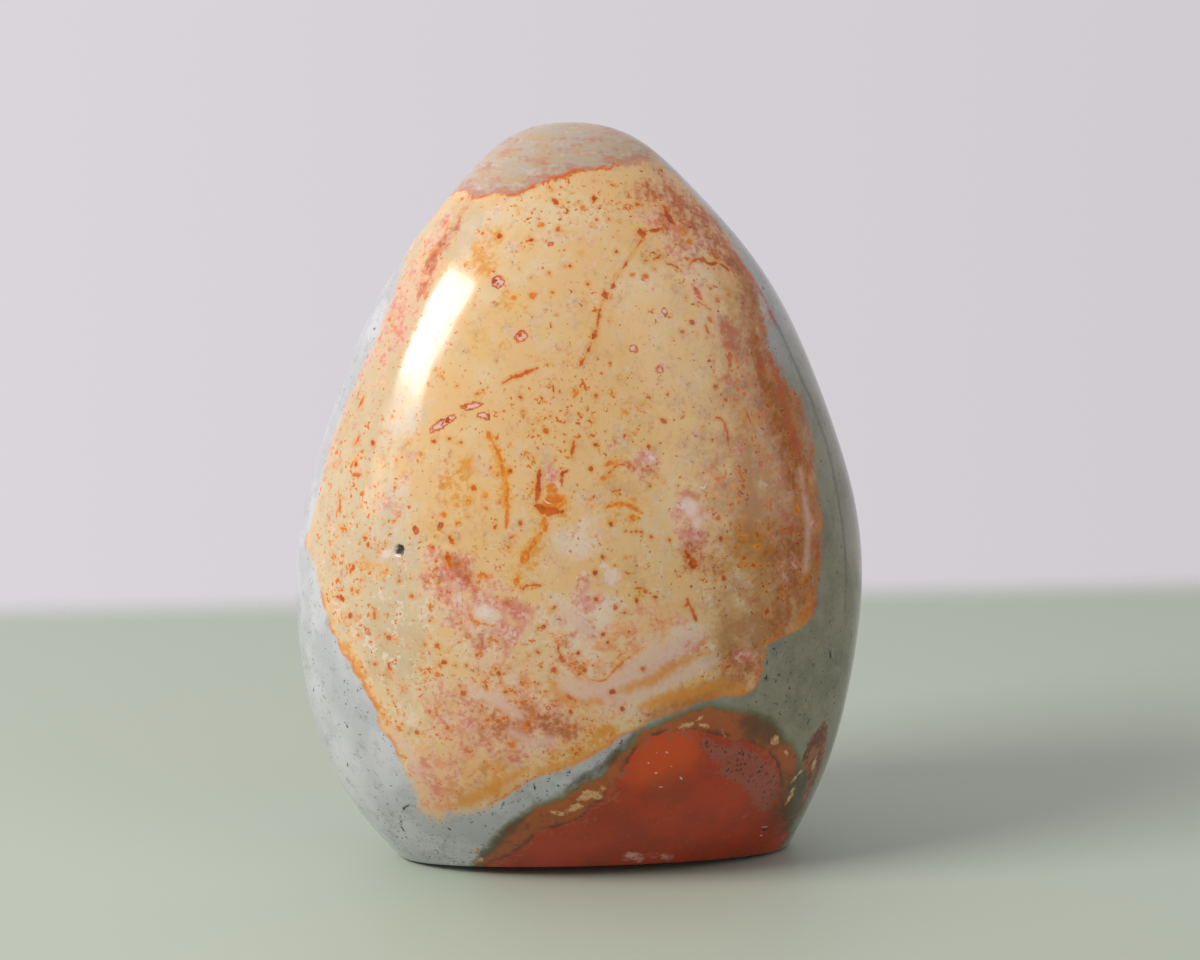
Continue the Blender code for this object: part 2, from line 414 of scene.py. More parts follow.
        "leaf": (0.62, (579, 799), (587, 796), (596, 795), (601, 797)),
        "leaf_head": (0.5, (584, 793), (590, 794)),
        "leaf_low": (0.55, (568, 810), (575, 807), (583, 806)),
        "leaf_end": (0.4, (551, 812), (558, 814), (566, 813)),
        "top": (0.4, (679, 728), (685, 726), (692, 724)),
        "top_small": (0.22, (700, 724), (708, 727)),
        "right": (0.62, (773, 738), (777, 743)),
        "right_low": (0.25, (785, 751), (788, 753)),
        "base_left": (0.55, (476, 861), (482, 859)),
        "base_left_streak": (0.15, (477, 848), (477, 857)),
        "sliver_heart": (0.55, (815, 759), (813, 768)),
        "sliver_needle": (0.22, (802, 771), (796, 777), (791, 784)),
        "sliver_tooth": (0.45, (795, 787), (791, 795), (786, 804)),
        "bubbles": [
            (0.2, (600, 789), (604, 788)), (0.16, (697, 720), (703, 716)), (0.2, (722, 731), (724, 735)),
        ],
    },
    "shadow": {
        "vein": (
            0.3, (770, 311), (776, 323), (783, 337), (790, 353), (797, 368), (804, 385), (811, 399),
            (816, 415), (825, 438), (831, 462), (837, 492), (842, 524), (845, 550), (846, 580), (845, 610),
        ),
    },
    "dark": {
        # Black in the open pit, and further down in the chip's hole, is painted shade in these hollows.
        "pit": (0.5, (398, 547), (402, 549)),
        "pit_side": (0.4, (396, 552), (399, 551)),
        "pit_low": (0.3, (402, 552), (401, 555)),
        "crack_left": (0.13, (402, 812), (405, 807), (409, 805), (413, 806)),
        "crack_left_low": (0.1, (401, 820), (402, 828), (405, 832)),
        "band_ticks": [
            (0.13, (534, 783), (535, 791)), (0.15, (549, 774), (551, 775)), (0.13, (502, 806), (504, 802)),
            (0.14, (522, 790), (523, 792)),
        ],
        "left_pair_ticks": [
            (0.16, (443, 827), (445, 828)), (0.15, (448, 827), (450, 830)),
        ],
        "left_ticks": [
            (0.15, (347, 766), (348, 763)), (0.12, (378, 738), (379, 736)), (0.14, (385, 823), (389, 826)),
        ],
        "chip_hole": (0.2, (763, 830), (767, 830)),
        "grey_ticks": [
            (0.2, (772, 648), (775, 650)), (0.17, (766, 664), (768, 660)), (0.15, (788, 679), (788, 684)),
            (0.15, (767, 672), (766, 684)), (0.17, (830, 651), (831, 660)),
        ],
    },
}

# These groups have soft edges, so the mesh needn't be fine along them.
SOFT_GROUPS = ("smear", "amber", "stripe", "mauve", "shadow")

# Small round marks, by colour and half-width in millimetres: the pixel that each lies on.
DOTS = {
    "rust": {
        0.36: (
            (373, 443), (352, 589), (350, 616), (437, 646), (444, 662), (643, 669), (500, 236), (558, 229),
            (546, 431), (721, 539), (645, 591), (612, 692), (553, 670), (645, 276), (474, 488), (528, 724),
            (498, 721), (498, 673), (464, 693), (389, 638), (717, 300), (761, 464), (716, 386),
        ),
        0.27: (
            (399, 581), (412, 596), (449, 439), (434, 441), (365, 538), (368, 545), (356, 464), (375, 664),
            (495, 527), (520, 523), (510, 470), (595, 445), (591, 469), (596, 396), (603, 634), (608, 642),
            (544, 627), (538, 652), (578, 653), (585, 671), (616, 607), (624, 613), (637, 600), (655, 597),
            (596, 599), (703, 427), (726, 400), (734, 407), (730, 505), (718, 518), (695, 565), (757, 534),
            (744, 558), (753, 565), (744, 481), (743, 486), (752, 439), (692, 322), (710, 320), (682, 332),
            (637, 204), (612, 185), (656, 197), (609, 219), (531, 240), (616, 252), (570, 711), (622, 709),
            (569, 727), (488, 720), (482, 706), (448, 728), (417, 733), (595, 573), (603, 557), (611, 524),
        ),
        0.17: (
            (597, 220), (581, 253), (565, 266), (570, 266), (588, 284), (552, 292), (549, 273), (531, 278),
            (538, 421), (550, 416), (668, 394), (649, 447), (664, 482), (678, 486), (651, 537), (669, 540),
            (650, 486), (646, 261), (654, 269), (686, 298), (711, 289), (714, 499), (739, 503), (738, 368),
            (738, 390), (745, 394), (751, 386), (754, 375), (457, 386), (477, 394), (520, 397), (523, 411),
            (626, 531), (631, 532), (636, 531), (641, 532), (460, 443), (433, 547), (468, 517), (486, 508),
            (505, 692), (520, 708), (456, 666), (467, 666), (430, 620), (425, 645), (477, 655), (419, 668),
        ),
    },
    "ochre": {
        0.4: ((444, 515), (468, 502), (485, 495), (583, 208), (541, 225), (514, 298), (512, 745), (632, 275)),
        0.3: ((396, 460), (420, 454), (394, 521), (733, 486), (744, 518), (615, 566), (402, 724), (728, 294)),
    },
}

# Soft washes of colour: how far each reaches on either side, in millimetres, and its pixels.
WASHES = {
    "cream_wash": {
        "left": (15.0, (370, 420), (350, 540), (390, 650), (440, 730)),
        "bottom": (12.0, (450, 640), (520, 690), (600, 680), (660, 640)),
        "top": (5.0, (500, 220), (560, 205), (620, 215)),
        "right": (4.0, (690, 250), (700, 300)),
    },
    # The milk wash is partly the field's own greyer cream and partly a painted veil of the window's white
    # reflection, which mutes the left of the field.
    "milk_and_reflection_wash": {
        "left": (15.0, (420, 240), (384, 330), (350, 430), (330, 530), (356, 630)),
        "high": (8.0, (470, 210), (440, 250)),
        "left_low": (9.0, (390, 480), (380, 600), (400, 690)),
    },
    "red_wash": {
        "right_edge": (6.5, (664, 182), (690, 208), (712, 236), (734, 262), (754, 296)),
        "right_edge_mid": (8.0, (752, 320), (768, 372), (782, 414), (796, 456), (806, 500)),
        "right_edge_low": (6.0, (803, 530), (800, 560), (790, 600), (772, 640)),
        "right_cluster": (4.5, (716, 322), (732, 336), (732, 356)),
        "top_right": (5.0, (636, 190), (664, 200), (690, 240)),
        "right_corner": (4.0, (806, 610), (790, 622)),
        "low_right": (5.0, (742, 652), (752, 676)),
        "under_slab": (3.4, (700, 538), (696, 560), (722, 576)),
        "low_left": (4.2, (470, 706), (500, 722), (548, 726), (580, 736)),
        "smear": (2.4, (440, 550), (456, 568), (474, 586)),
        "left_edge": (1.8, (470, 200), (452, 232), (430, 262), (416, 300)),
        "cap_front": (2.2, (482, 186), (520, 180), (560, 164), (600, 160)),
    },
    "pink_wash": {
        "smear": (7.4, (432, 556), (450, 584), (482, 608), (528, 622)),
        "smear_low": (5.6, (466, 630), (506, 646)),
        "smudge": (3.4, (588, 588), (592, 604)),
        "slab": (4.2, (684, 500), (698, 532), (712, 552)),
        "high_patch": (3.2, (636, 468), (654, 462)),
        "blotch": (2.4, (548, 470), (552, 486)),
        "upper_left": (3.0, (450, 232), (424, 276), (400, 330), (380, 372)),
        "left_rim": (2.0, (462, 198), (432, 238), (408, 280), (380, 336), (352, 388), (334, 432), (318, 500)),
        "swirl": (3.4, (620, 690), (664, 668), (704, 640)),
        "bottom_left": (6.0, (414, 770), (440, 780), (470, 800)),
        "low": (8.0, (440, 690), (500, 736), (560, 716)),
        "under_swirl": (3.6, (560, 620), (600, 640)),
        "high_right": (4.0, (646, 222), (672, 226), (700, 300)),
        "right": (5.0, (742, 300), (766, 340), (776, 360)),
        "far_right": (6.0, (790, 430), (788, 500), (780, 580)),
    },
    "pale_wash": {
        "swirl_core": (5.4, (580, 690), (612, 686), (650, 662), (690, 636), (712, 646)),
        "swirl_under": (2.6, (640, 690), (680, 672), (716, 652)),
        "low_left": (5.5, (480, 690), (520, 706), (530, 740)),
        "mid_low": (5.0, (550, 600), (584, 618), (620, 600)),
        "mid": (4.0, (560, 540), (600, 550)),
        "low_right": (5.0, (560, 650), (600, 664)),
        "left": (5.5, (404, 480), (392, 548), (388, 600)),
        "left_rim": (2.6, (326, 440), (318, 480), (312, 530)),
        "left_limb": (3.4, (440, 204), (404, 256), (374, 316), (348, 372), (330, 424)),
        "smear": (3.6, (470, 606), (500, 622)),
        "high_left": (4.0, (392, 420), (420, 430)),
        "right_up": (3.6, (692, 236), (712, 256)),
        "right": (3.6, (756, 306), (772, 344), (786, 388)),
        "upper_left": (3.8, (492, 214), (470, 236), (480, 262)),
    },
    "ochre_wash": {
        "low_edge": (3.6, (520, 774), (560, 758), (600, 740), (630, 724)),
        "low_edge_left": (5.0, (452, 790), (480, 780), (506, 772)),
        "low_edge_right": (3.6, (650, 708), (690, 696), (730, 686), (748, 668)),
        "left_edge": (2.2, (326, 604), (334, 628), (350, 654), (362, 680), (380, 712), (392, 738)),
        "blotch": (3.6, (552, 494), (548, 520)),
        "trail": (2.8, (544, 528), (524, 562), (515, 588)),
        "crescent": (2.0, (490, 436), (504, 480), (506, 514)),
        "smear_left": (3.4, (470, 462), (452, 490), (486, 500)),
        "right": (4.0, (744, 392), (752, 424), (730, 470)),
        "right_low": (4.0, (740, 540), (764, 556)),
        "upper_left": (3.4, (500, 228), (482, 262), (466, 276)),
        "high": (3.0, (505, 300), (520, 312)),
        "arch": (3.4, (606, 510), (636, 514)),
        "arch_high": (3.0, (604, 468), (632, 466)),
        "under_pit": (2.6, (394, 566), (362, 566)),
    },
    "salmon_wash": {
        "low_left": (5.0, (458, 752), (476, 762)),
        "foot_left": (4.0, (430, 800), (450, 806)),
        "right": (4.5, (716, 460), (724, 500)),
        "far_right": (4.0, (808, 500), (812, 560), (800, 600)),
        "low_mid": (4.0, (618, 640), (640, 626), (700, 610)),
        "low_wide": (11.0, (430, 700), (500, 716), (580, 690), (650, 640)),
        "low_foot": (6.0, (424, 752), (470, 776), (540, 742)),
        "low_right": (3.6, (640, 720), (700, 700)),
    },
    "speckled": {
        "left": (13.0, (360, 400), (350, 480), (350, 560), (370, 640)),
        "left_low": (13.0, (400, 660), (440, 690)),
        "low": (13.0, (440, 660), (500, 690), (560, 700), (600, 716)),
        "right": (14.0, (752, 350), (770, 420), (776, 500), (772, 570), (756, 620)),
        "right_low": (10.0, (728, 640), (740, 670), (720, 690)),
        "right_edge": (9.0, (790, 430), (802, 500), (800, 570)),
        "smear": (8.0, (440, 560), (480, 600), (520, 630)),
        "top_right": (9.0, (650, 190), (690, 230), (720, 270)),
        "top": (8.0, (500, 216), (560, 204), (620, 200)),
        "middle": (9.0, (620, 400), (560, 420), (520, 480)),
    },
    "flecked": {
        "right": (8.0, (770, 650), (790, 690), (800, 660)),
        "right_low": (6.0, (812, 700), (830, 650)),
        "foot": (7.0, (400, 800), (420, 850), (480, 850)),
        "band": (3.0, (500, 812), (560, 780), (620, 746)),
    },
    # The umber wash is partly the field's own brown and partly painted shade down its right side, which faces
    # away from the window.
    "umber_and_shade_wash": {
        "right_broad": (16.0, (752, 300), (780, 400), (792, 500), (784, 590), (760, 640)),
        "right": (7.0, (760, 372), (776, 430), (790, 490), (792, 550), (778, 604)),
        "right_in": (5.0, (740, 440), (752, 520), (750, 580)),
        "low_right": (9.0, (776, 600), (756, 630), (746, 660)),
        "low_edge": (2.6, (640, 722), (680, 704), (720, 690), (750, 672)),
        "high_right": (3.6, (730, 250), (752, 290), (764, 330)),
    },
    # Dark olive-brown along the dome's rim and foot. On the right rim it is painted shade, partly the rim's
    # own dark brown.
    "murk_and_shade": {
        "rim_right": (6.5, (800, 772), (794, 796), (790, 828)),
        "rim_top_right": (3.2, (738, 722), (762, 728), (784, 744)),
        "grey_foot": (1.5, (474, 862), (500, 838), (530, 812)),
        "band": (1.1, (560, 790), (600, 768), (640, 730)),
    },
    "soft_edge": {
        "right": (6.0, (660, 160), (697, 196), (731, 240), (760, 291), (777, 360), (798, 395)),
        "right_middle": (6.0, (798, 395), (813, 453), (820, 500)),
        "right_low": (5.0, (822, 540), (816, 590)),
        "left": (3.0, (462, 180), (417, 235), (392, 295), (366, 358), (343, 408), (324, 467), (309, 528)),
        "left_low": (3.0, (308, 550), (318, 590)),
        "corner": (4.0, (400, 768), (420, 812), (455, 818), (486, 810)),
        "cap_right": (5.0, (612, 167), (640, 161), (668, 158)),
    },
    "glow": {"core": (6.5, (640, 772), (660, 756), (690, 756))},
    "shade": {
        "core": (5.0, (660, 788), (680, 792)),
    },
}

# The back has the same kinds of wash and mark, by turn from +X in degrees and height in millimetres.
BACK_WASHES = {
    "red_wash": {
        "field_side": (5.0, (134, 42), (146, 56), (138, 68)),
        "field_foot": (4.0, (112, 30), (98, 38)),
        "tip": (3.0, (52, 88), (76, 90)),
        "side": (3.5, (38, 56), (36, 74)),
    },
    "pink_wash": {
        "field_top": (5.0, (50, 86), (76, 88), (104, 88)),
        "field_low": (5.0, (104, 34), (118, 46), (128, 60)),
        "field_in": (4.0, (62, 58), (76, 62)),
    },
    "pale_wash": {
        "field": (5.0, (60, 80), (84, 76), (110, 80)),
        "low": (4.5, (100, 46), (116, 56)),
        "side": (3.5, (48, 58), (54, 72)),
    },
    "ochre_wash": {
        "edge": (2.6, (104, 30), (124, 36), (140, 46), (146, 58)),
        "edge_in": (2.6, (42, 54), (60, 52), (76, 46), (90, 44)),
        "field": (4.0, (88, 62), (100, 70)),
    },
    "salmon_wash": {"field": (5.0, (122, 70), (110, 58)), "top": (4.0, (88, 84), (70, 80))},
    "cream_wash": {"field": (14.0, (60, 76), (84, 66), (110, 70))},
    "umber_and_shade_wash": {"field": (4.0, (140, 40), (148, 56)), "foot": (3.0, (96, 34), (88, 44))},
    "speckled": {
        "field": (11.0, (50, 70), (84, 62), (120, 60)),
        "field_top": (8.0, (80, 84), (110, 84)),
    },
    "flecked": {"foot": (8.0, (110, 10), (140, 14), (170, 12)), "side": (8.0, (20, 30), (30, 14), (44, 8))},
    "murk_and_shade": {"patch": (2.4, (57, 8), (62, 19), (76, 26)), "patch_side": (2.0, (104, 10), (98, 26))},
}
BACK_MARKS = {
    "rust": {
        "crack_high": (0.12, (64, 84), (66, 79), (65, 74), (68, 69), (67, 64)),
        "crack_knot": (0.4, (66, 78), (65, 75)),
        "crack_knot_low": (0.3, (68, 69), (68, 67)),
        "rod_high": (0.25, (96, 84), (101, 82)),
        "rod": (0.3, (112, 66), (114, 62)),
        "rod_low": (0.22, (103, 42), (106, 39)),
        "dash": (0.3, (129, 50), (133, 49)),
        "dash_low": (0.24, (118, 40), (121, 42)),
        "wedge": (0.45, (56, 62), (58, 60)),
        "knot": (0.5, (84, 54), (86, 53)),
    },
    "smear": {
        "side": (0.9, (130, 38), (139, 46), (144, 56)),
        "side_high": (0.6, (126, 74), (136, 68)),
        "top": (0.8, (54, 87), (66, 87)),
        "low": (0.7, (96, 36), (106, 32)),
    },
    "ochre": {
        "blotch": (0.8, (76, 72), (79, 71)),
        "blotch_low": (0.5, (75, 68), (77, 66)),
        "fleck": (0.35, (100, 60), (102, 58)),
        "fleck_high": (0.35, (112, 78), (115, 79)),
        "fleck_side": (0.3, (48, 76), (50, 74)),
    },
    "amber": {
        "band": (0.8, (92, 44), (104, 48), (116, 50), (128, 57), (136, 64)),
        "edge": (0.7, (100, 31), (110, 29), (120, 36), (131, 35), (142, 44)),
        "edge_in": (0.6, (44, 55), (57, 51), (70, 53), (79, 45)),
    },
    "white": {"crystal": (0.7, (92, 76), (94, 74)), "slab": (0.8, (112, 54), (115, 52))},
    "stripe": {
        "low": (1.2, (92, 47), (104, 52), (116, 54), (127, 62), (133, 69)),
        "low_under": (0.7, (104, 42), (116, 45), (130, 52)),
        "top": (0.8, (60, 84), (78, 86), (96, 85)),
    },
    "mauve": {"smudge": (1.2, (110, 56), (114, 50)), "smudge_high": (0.9, (88, 78), (91, 76))},
    "rimmed": {"inclusion": (0.6, (84, 80), (87, 80)), "inclusion_low": (0.5, (62, 58), (65, 57))},
    "vug": {
        "patch_core": (0.6, (92, 26), (95, 23)),
        "patch_edge": (0.45, (66, 20), (71, 22)),
        "patch_side": (0.35, (58, 12), (60, 9)),
    },
    "shadow": {
        "vein": (0.28, (6, 66), (10, 52), (18, 38), (22, 26), (33, 14), (38, 4)),
        "vein_left": (0.25, (172, 22), (163, 34), (165, 47), (158, 60), (163, 70)),
    },
}

# The two open pits, with a power below 1 that makes their walls steep.
PIT = {"place": (399, 550.5), "reach": 0.8, "depth": 0.9}
CHIP = {"place": (765, 829.5), "reach": 0.65, "depth": 0.45}
WALL_POWER = 0.6


def outline_terms():
    """Polynomials in w (-1 at the blunt end, 1 at the tip): fullness beyond a circle, and middle in X."""
    height, left, right = np.transpose(OUTLINE)
    w = (height - MIDDLE) / HALF_LENGTH
    fullness = (left + right) / 2 / np.sqrt(1 - w * w)
    return np.polyfit(w, fullness, WIDTH_TERMS), np.polyfit(w, (right - left) / 2, MIDDLE_TERMS)


FULLNESS, MIDDLE_X = outline_terms()


def egg(directions):
    """Points of the uncut stone, in millimetres, for rows of unit directions from its middle."""
    w = directions[:, 2]
    flat = np.maximum(np.hypot(directions[:, 0], directions[:, 1]), TINY)
    across, along = directions[:, 0] / flat, directions[:, 1] / flat
    half_width = np.sqrt(np.maximum(0.0, 1 - w * w)) * np.polyval(FULLNESS, w)
    corner = 1 + (FULL_CORNERS + SOFTER_FRONT * along) * (2 * across * along) ** 2
    share = DEPTH_SHARE - DEEPER_FRONT * along - FOOT_NARROWING * np.maximum(0.0, -w) ** FOOT_TURN
    x = np.polyval(MIDDLE_X, w) + half_width * corner * across
    y = LEAN_BACK * w * np.abs(w) + half_width * corner * share * along
    return np.column_stack((x, y, MIDDLE + HALF_LENGTH * w)) / MM


def softly_above(heights, floor):
    """The higher of the two, rounded where they meet."""
    wear = WORN_EDGE / MM
    return np.maximum(heights, floor) + np.maximum(wear - np.abs(heights - floor), 0.0) ** 2 / (4 * wear)


def facet_height(points):
    return -math.tan(FACET_TILT) * (points[:, 1] + FACET_START / MM)


def unit_rows(rows):
    return rows / np.maximum(np.linalg.norm(rows, axis=1, keepdims=True), TINY)


def find_shift():
    """How far the solid was moved so that the origin is under the middle of its box."""
    turns = np.linspace(-math.pi, math.pi, GRID_TURNS)
    turns, levels = np.meshgrid(turns, np.linspace(-GRID_TOP, GRID_TOP, GRID_LEVELS))
    flat = np.sqrt(1 - levels ** 2)
    rows = (flat * np.cos(turns), flat * np.sin(turns), levels)
    points = egg(np.column_stack([row.ravel() for row in rows]))
    middle = (points.min(0) + points.max(0)) / 2
    return np.array((-middle[0], -middle[1], 0.0))


SHIFT = find_shift()


def shaped(directions):
    """Points of the stone with its ground base and front facet, in millimetres."""
    points = egg(directions)
    floor = facet_height(points)
    points[:, 2] = softly_above(softly_above(points[:, 2], 0.0), floor)
    return points + SHIFT


def side_point(turn, height):
    """A point of the stone, in millimetres, from its turn from +X in degrees and height in millimetres."""
    w = (height * MM - MIDDLE) / HALF_LENGTH
    flat = math.sqrt(1 - w * w)
    angle = math.radians(turn)
    return shaped(np.array([[flat * math.cos(angle), flat * math.sin(angle), w]]))[0]


class View:
    """The camera, as sums: pixels of the picture become points of the stone."""

    def __init__(self, tree):
        turn, rise = CAMERA_TURN, CAMERA_RISE
        level = math.cos(rise)
        self.back = Vector((math.sin(turn) * level, -math.cos(turn) * level, math.sin(rise)))
        self.right = Vector((math.cos(turn), math.sin(turn), 0))
        self.up = self.back.cross(self.right)
        aim = self.right * CAMERA_AIM[0] + Vector((0, 0, CAMERA_AIM[1]))
        self.eye = aim + self.back * CAMERA_DISTANCE
        self.reach = LENS / SENSOR * PICTURE[0]
        self.tree = tree

    def on_stone(self, pixel):
        """The point of the stone that a pixel shows, or the nearest to it, in millimetres."""
        across, down = pixel[0] - PICTURE[0] / 2, pixel[1] - PICTURE[1] / 2
        ray = (self.right * across - self.up * down - self.back * self.reach).normalized()
        found = self.tree.ray_cast(self.eye / MM, ray)[0]
        if found is None:
            found = self.tree.find_nearest((self.eye + ray * CAMERA_DISTANCE) / MM)[0]
        return np.array(found)


def smoothed(points, closed):
    """The points with more between them, on a smooth curve through them."""
    points = np.array(points, float)
    if len(points) == 2:
        return np.array((points[0], points.mean(0), points[1]))
    if len(points) < 2:
        return points
    if closed:
        before, start, end, after = (np.roll(points, turn, axis=0) for turn in (1, 0, -1, -2))
    else:
        ends = np.vstack((2 * points[0] - points[1], points, 2 * points[-1] - points[-2]))
        before, start, end, after = ends[:-3], ends[1:-2], ends[2:-1], ends[3:]
    steps = []
    for t in np.arange(PATH_STEPS) / PATH_STEPS:
        steps.append(0.5 * (
            2 * start + (end - before) * t + (2 * before - 5 * start + 4 * end - after) * t ** 2
            + (3 * start - before - 3 * end + after) * t ** 3
        ))
    path = np.stack(steps, axis=1).reshape(-1, points.shape[1])
    return path if closed else np.vstack((path, points[-1]))


def gap(points, start, end):
    """How far points are from the line between two others, and how far along it the nearest place is."""
    line = end - start
    length = line @ line
    along = np.clip((points - start) @ line / length, 0, 1) if length > 0 else np.zeros(len(points))
    return np.linalg.norm(points - start - along[:, None] * line, axis=1), along


class Stroke:
    """A line on the stone with a half-width, both in millimetres. Its ends are narrower than its middle."""

    END_SHARE = 0.45

    def __init__(self, half_width, points):
        self.half_width = half_width
        self.path = smoothed(points, closed=False)
        place = np.linspace(-1, 1, len(self.path)) if len(self.path) > 1 else np.zeros(1)
        self.widths = half_width * (1 - (1 - self.END_SHARE) * place ** 2)

    def depth(self, points, margin):
        """Which points are near, and how deep each is inside the line (negative outside it)."""
        reach = self.half_width + margin
        near = np.all((points > self.path.min(0) - reach) & (points < self.path.max(0) + reach), axis=1)
        near = np.flatnonzero(near)
        rows = points[near]
        if len(self.path) == 1:
            return near, self.half_width - np.linalg.norm(rows - self.path[0], axis=1)
        deepest = np.full(len(rows), -FAR)
        for index in range(len(self.path) - 1):
            away, along = gap(rows, self.path[index], self.path[index + 1])
            width = self.widths[index] + along * (self.widths[index + 1] - self.widths[index])
            deepest = np.maximum(deepest, width - away)
        return near, deepest


def read_strokes(table, place):
    """Strokes by group, from a table of half-widths and places; place makes a point of each place."""
    strokes = {}
    for group, marks in table.items():
        rows = [row for mark in marks.values() for row in (mark if isinstance(mark, list) else [mark])]
        strokes[group] = [Stroke(row[0], [place(spot) for spot in row[1:]]) for row in rows]
    return strokes


def all_strokes(view, seen, behind):
    strokes = read_strokes(seen, view.on_stone)
    for group, rows in read_strokes(behind, lambda spot: side_point(*spot)).items():
        strokes.setdefault(group, []).extend(rows)
    return strokes


def dot_strokes(view):
    return {
        group: [Stroke(size, [view.on_stone(spot)]) for size, spots in rows.items() for spot in spots]
        for group, rows in DOTS.items()
    }


FRONT, BACK = -1, 1


def chart(points, facing):
    """A flat map of the stone, centred on the middle of its front or back."""
    low, high = (np.array(corner) / MM for corner in CAD_BOX)
    rows = unit_rows((points - (low + high) / 2) / ((high - low) / 2))
    angle = np.arccos(np.clip(facing * rows[:, 1], -1, 1))
    flat = np.maximum(np.hypot(rows[:, 0], rows[:, 2]), TINY)
    return np.column_stack((rows[:, 0] * angle / flat, rows[:, 2] * angle / flat))


def is_inside(spots, outline):
    inside = np.zeros(len(spots), bool)
    for (x0, y0), (x1, y1) in zip(outline, np.roll(outline, -1, axis=0)):
        crosses = (y0 > spots[:, 1]) != (y1 > spots[:, 1])
        where = x0 + (x1 - x0) * (spots[:, 1] - y0) / (y1 - y0 if y1 != y0 else TINY)
        inside ^= crosses & (spots[:, 0] < where)
    return inside


def zone_depth(points, outline, facing):
    """How deep each point is inside a closed outline, in millimetres; negative outside, at most FAR."""
    outline = smoothed(outline, closed=True)
    nearest = np.full(len(points), FAR)
    for start, end in zip(outline, np.roll(outline, -1, axis=0)):
        low, high = np.minimum(start, end) - FAR, np.maximum(start, end) + FAR
        near = np.flatnonzero(np.all((points > low) & (points < high), axis=1))
        nearest[near] = np.minimum(nearest[near], gap(points[near], start, end)[0])
    inside = is_inside(chart(points, facing), chart(outline, facing))
    return np.where(inside, nearest, -nearest)


def outlines(view):
    """Each zone's outline as points of the stone, with the side that its map faces."""
    def seen(pixels):
        return [view.on_stone(pixel) for pixel in pixels]

    def round_side(places):
        return [side_point(turn, height) for turn, height in places]

    def under(places):
        return [np.array((x, y, 0.0)) + SHIFT for x, y in places]

    return {
        "field": (seen(FIELD_SEEN) + round_side(FIELD_BEHIND), FRONT),
        "cap": (seen(CAP_SEEN) + round_side(CAP_BEHIND), FRONT),
        "dome": (seen(DOME_SEEN) + under(DOME_UNDER), FRONT),
        "core": (seen(CORE_SEEN) + under(CORE_UNDER), FRONT),
        "mauve_zone": (seen(MAUVE_SEEN), FRONT),
        "sliver": (seen(SLIVER_SEEN), FRONT),
        "back_field": (round_side(BACK_FIELD), BACK),
        "back_patch": (round_side(BACK_PATCH), BACK),
        "back_core": (round_side(BACK_CORE), BACK),
    }


def sphere_mesh(steps):
    mesh = bmesh.new()
    bmesh.ops.create_icosphere(mesh, subdivisions=steps, radius=1.0)
    return mesh


def positions(mesh):
    return np.array([vertex.co for vertex in mesh.verts])


def casting_tree():
    """The plain stone as a tree that rays are cast at."""
    mesh = sphere_mesh(CAST_STEPS)
    points = shaped(positions(mesh))
    faces = [[vertex.index for vertex in face.verts] for face in mesh.faces]
    mesh.free()
    return BVHTree.FromPolygons([Vector(point) for point in points], faces)


def mesh_samples(marks, zones):
    """Places on the stone, each with the mesh size that it needs and how far round it that size holds."""
    samples = []
    for group, strokes in marks.items():
        for stroke in strokes:
            size, reach = SOFT_MARK_EDGE, 0.0
            if group not in SOFT_GROUPS:
                reach = stroke.half_width
                size = float(np.clip(MARK_EDGE_SHARE * reach, FINEST_EDGE, WIDEST_MARK_EDGE))
            samples += [(point, size, reach) for point in stroke.path]
    for outline, _ in zones.values():
        samples += [(point, ZONE_EDGE, 0.0) for point in smoothed(outline, closed=True)]
    return samples


def wanted_edges(middles, tree, samples):
    """The longest edge allowed at each of the points."""
    wanted = np.empty(len(middles))
    for row, middle in enumerate(middles):
        _, index, away = tree.find(middle)
        _, size, reach = samples[index]
        wanted[row] = size + EDGE_GROWTH * max(0.0, away - reach - SAMPLE_STEP)
    floor = np.maximum(0.0, facet_height(middles - SHIFT))
    rim = np.abs(middles[:, 2] - floor) < RIM_REACH
    rim &= np.hypot(middles[:, 0], 2 * middles[:, 1]) > BASE_MIDDLE
    return np.minimum(np.where(rim, np.minimum(wanted, RIM_EDGE), wanted), WIDEST_EDGE)


def refined_mesh(samples):
    """A sphere whose edges are short where the shaped stone has fine marks."""
    mesh = sphere_mesh(STONE_STEPS)
    tree = KDTree(len(samples))
    for index, (point, _, _) in enumerate(samples):
        tree.insert(point, index)
    tree.balance()
    for _ in range(REFINE_ROUNDS):
        mesh.edges.ensure_lookup_table()
        points = shaped(positions(mesh))
        ends = np.array([[vertex.index for vertex in edge.verts] for edge in mesh.edges])
        lengths = np.linalg.norm(points[ends[:, 0]] - points[ends[:, 1]], axis=1)
        middles = points[ends].mean(1)
        long = np.flatnonzero(lengths > wanted_edges(middles, tree, samples))
        if not len(long):
            break
        edges = [mesh.edges[int(index)] for index in long]
        bmesh.ops.subdivide_edges(mesh, edges=edges, cuts=1, use_grid_fill=True)
        bmesh.ops.triangulate(mesh, faces=mesh.faces[:])
        for vertex in mesh.verts:
            vertex.co.normalize()
        mesh.verts.index_update()
    return mesh


def press_in(points, hollow, view):
    """Sinks one open pit into the face, deepest in its middle."""
    middle = view.on_stone(hollow["place"])
    inward = unit_rows(np.array([[0.0, 0.0, middle[2]]]) - middle[None, :])[0]
    share = np.clip(1 - np.linalg.norm(points - middle, axis=1) / hollow["reach"], 0, 1)
    return points + np.outer(hollow["depth"] * share ** WALL_POWER, inward)


def fitted(points):
    """The points, drawn in by a few micrometres where they would pass the sides of the solid's box."""
    half = (np.array(CAD_BOX[1]) - np.array(CAD_BOX[0]))[:2] / 2 / MM
    points[:, :2] *= np.minimum(1.0, half / np.abs(points[:, :2]).max(0))
    return points


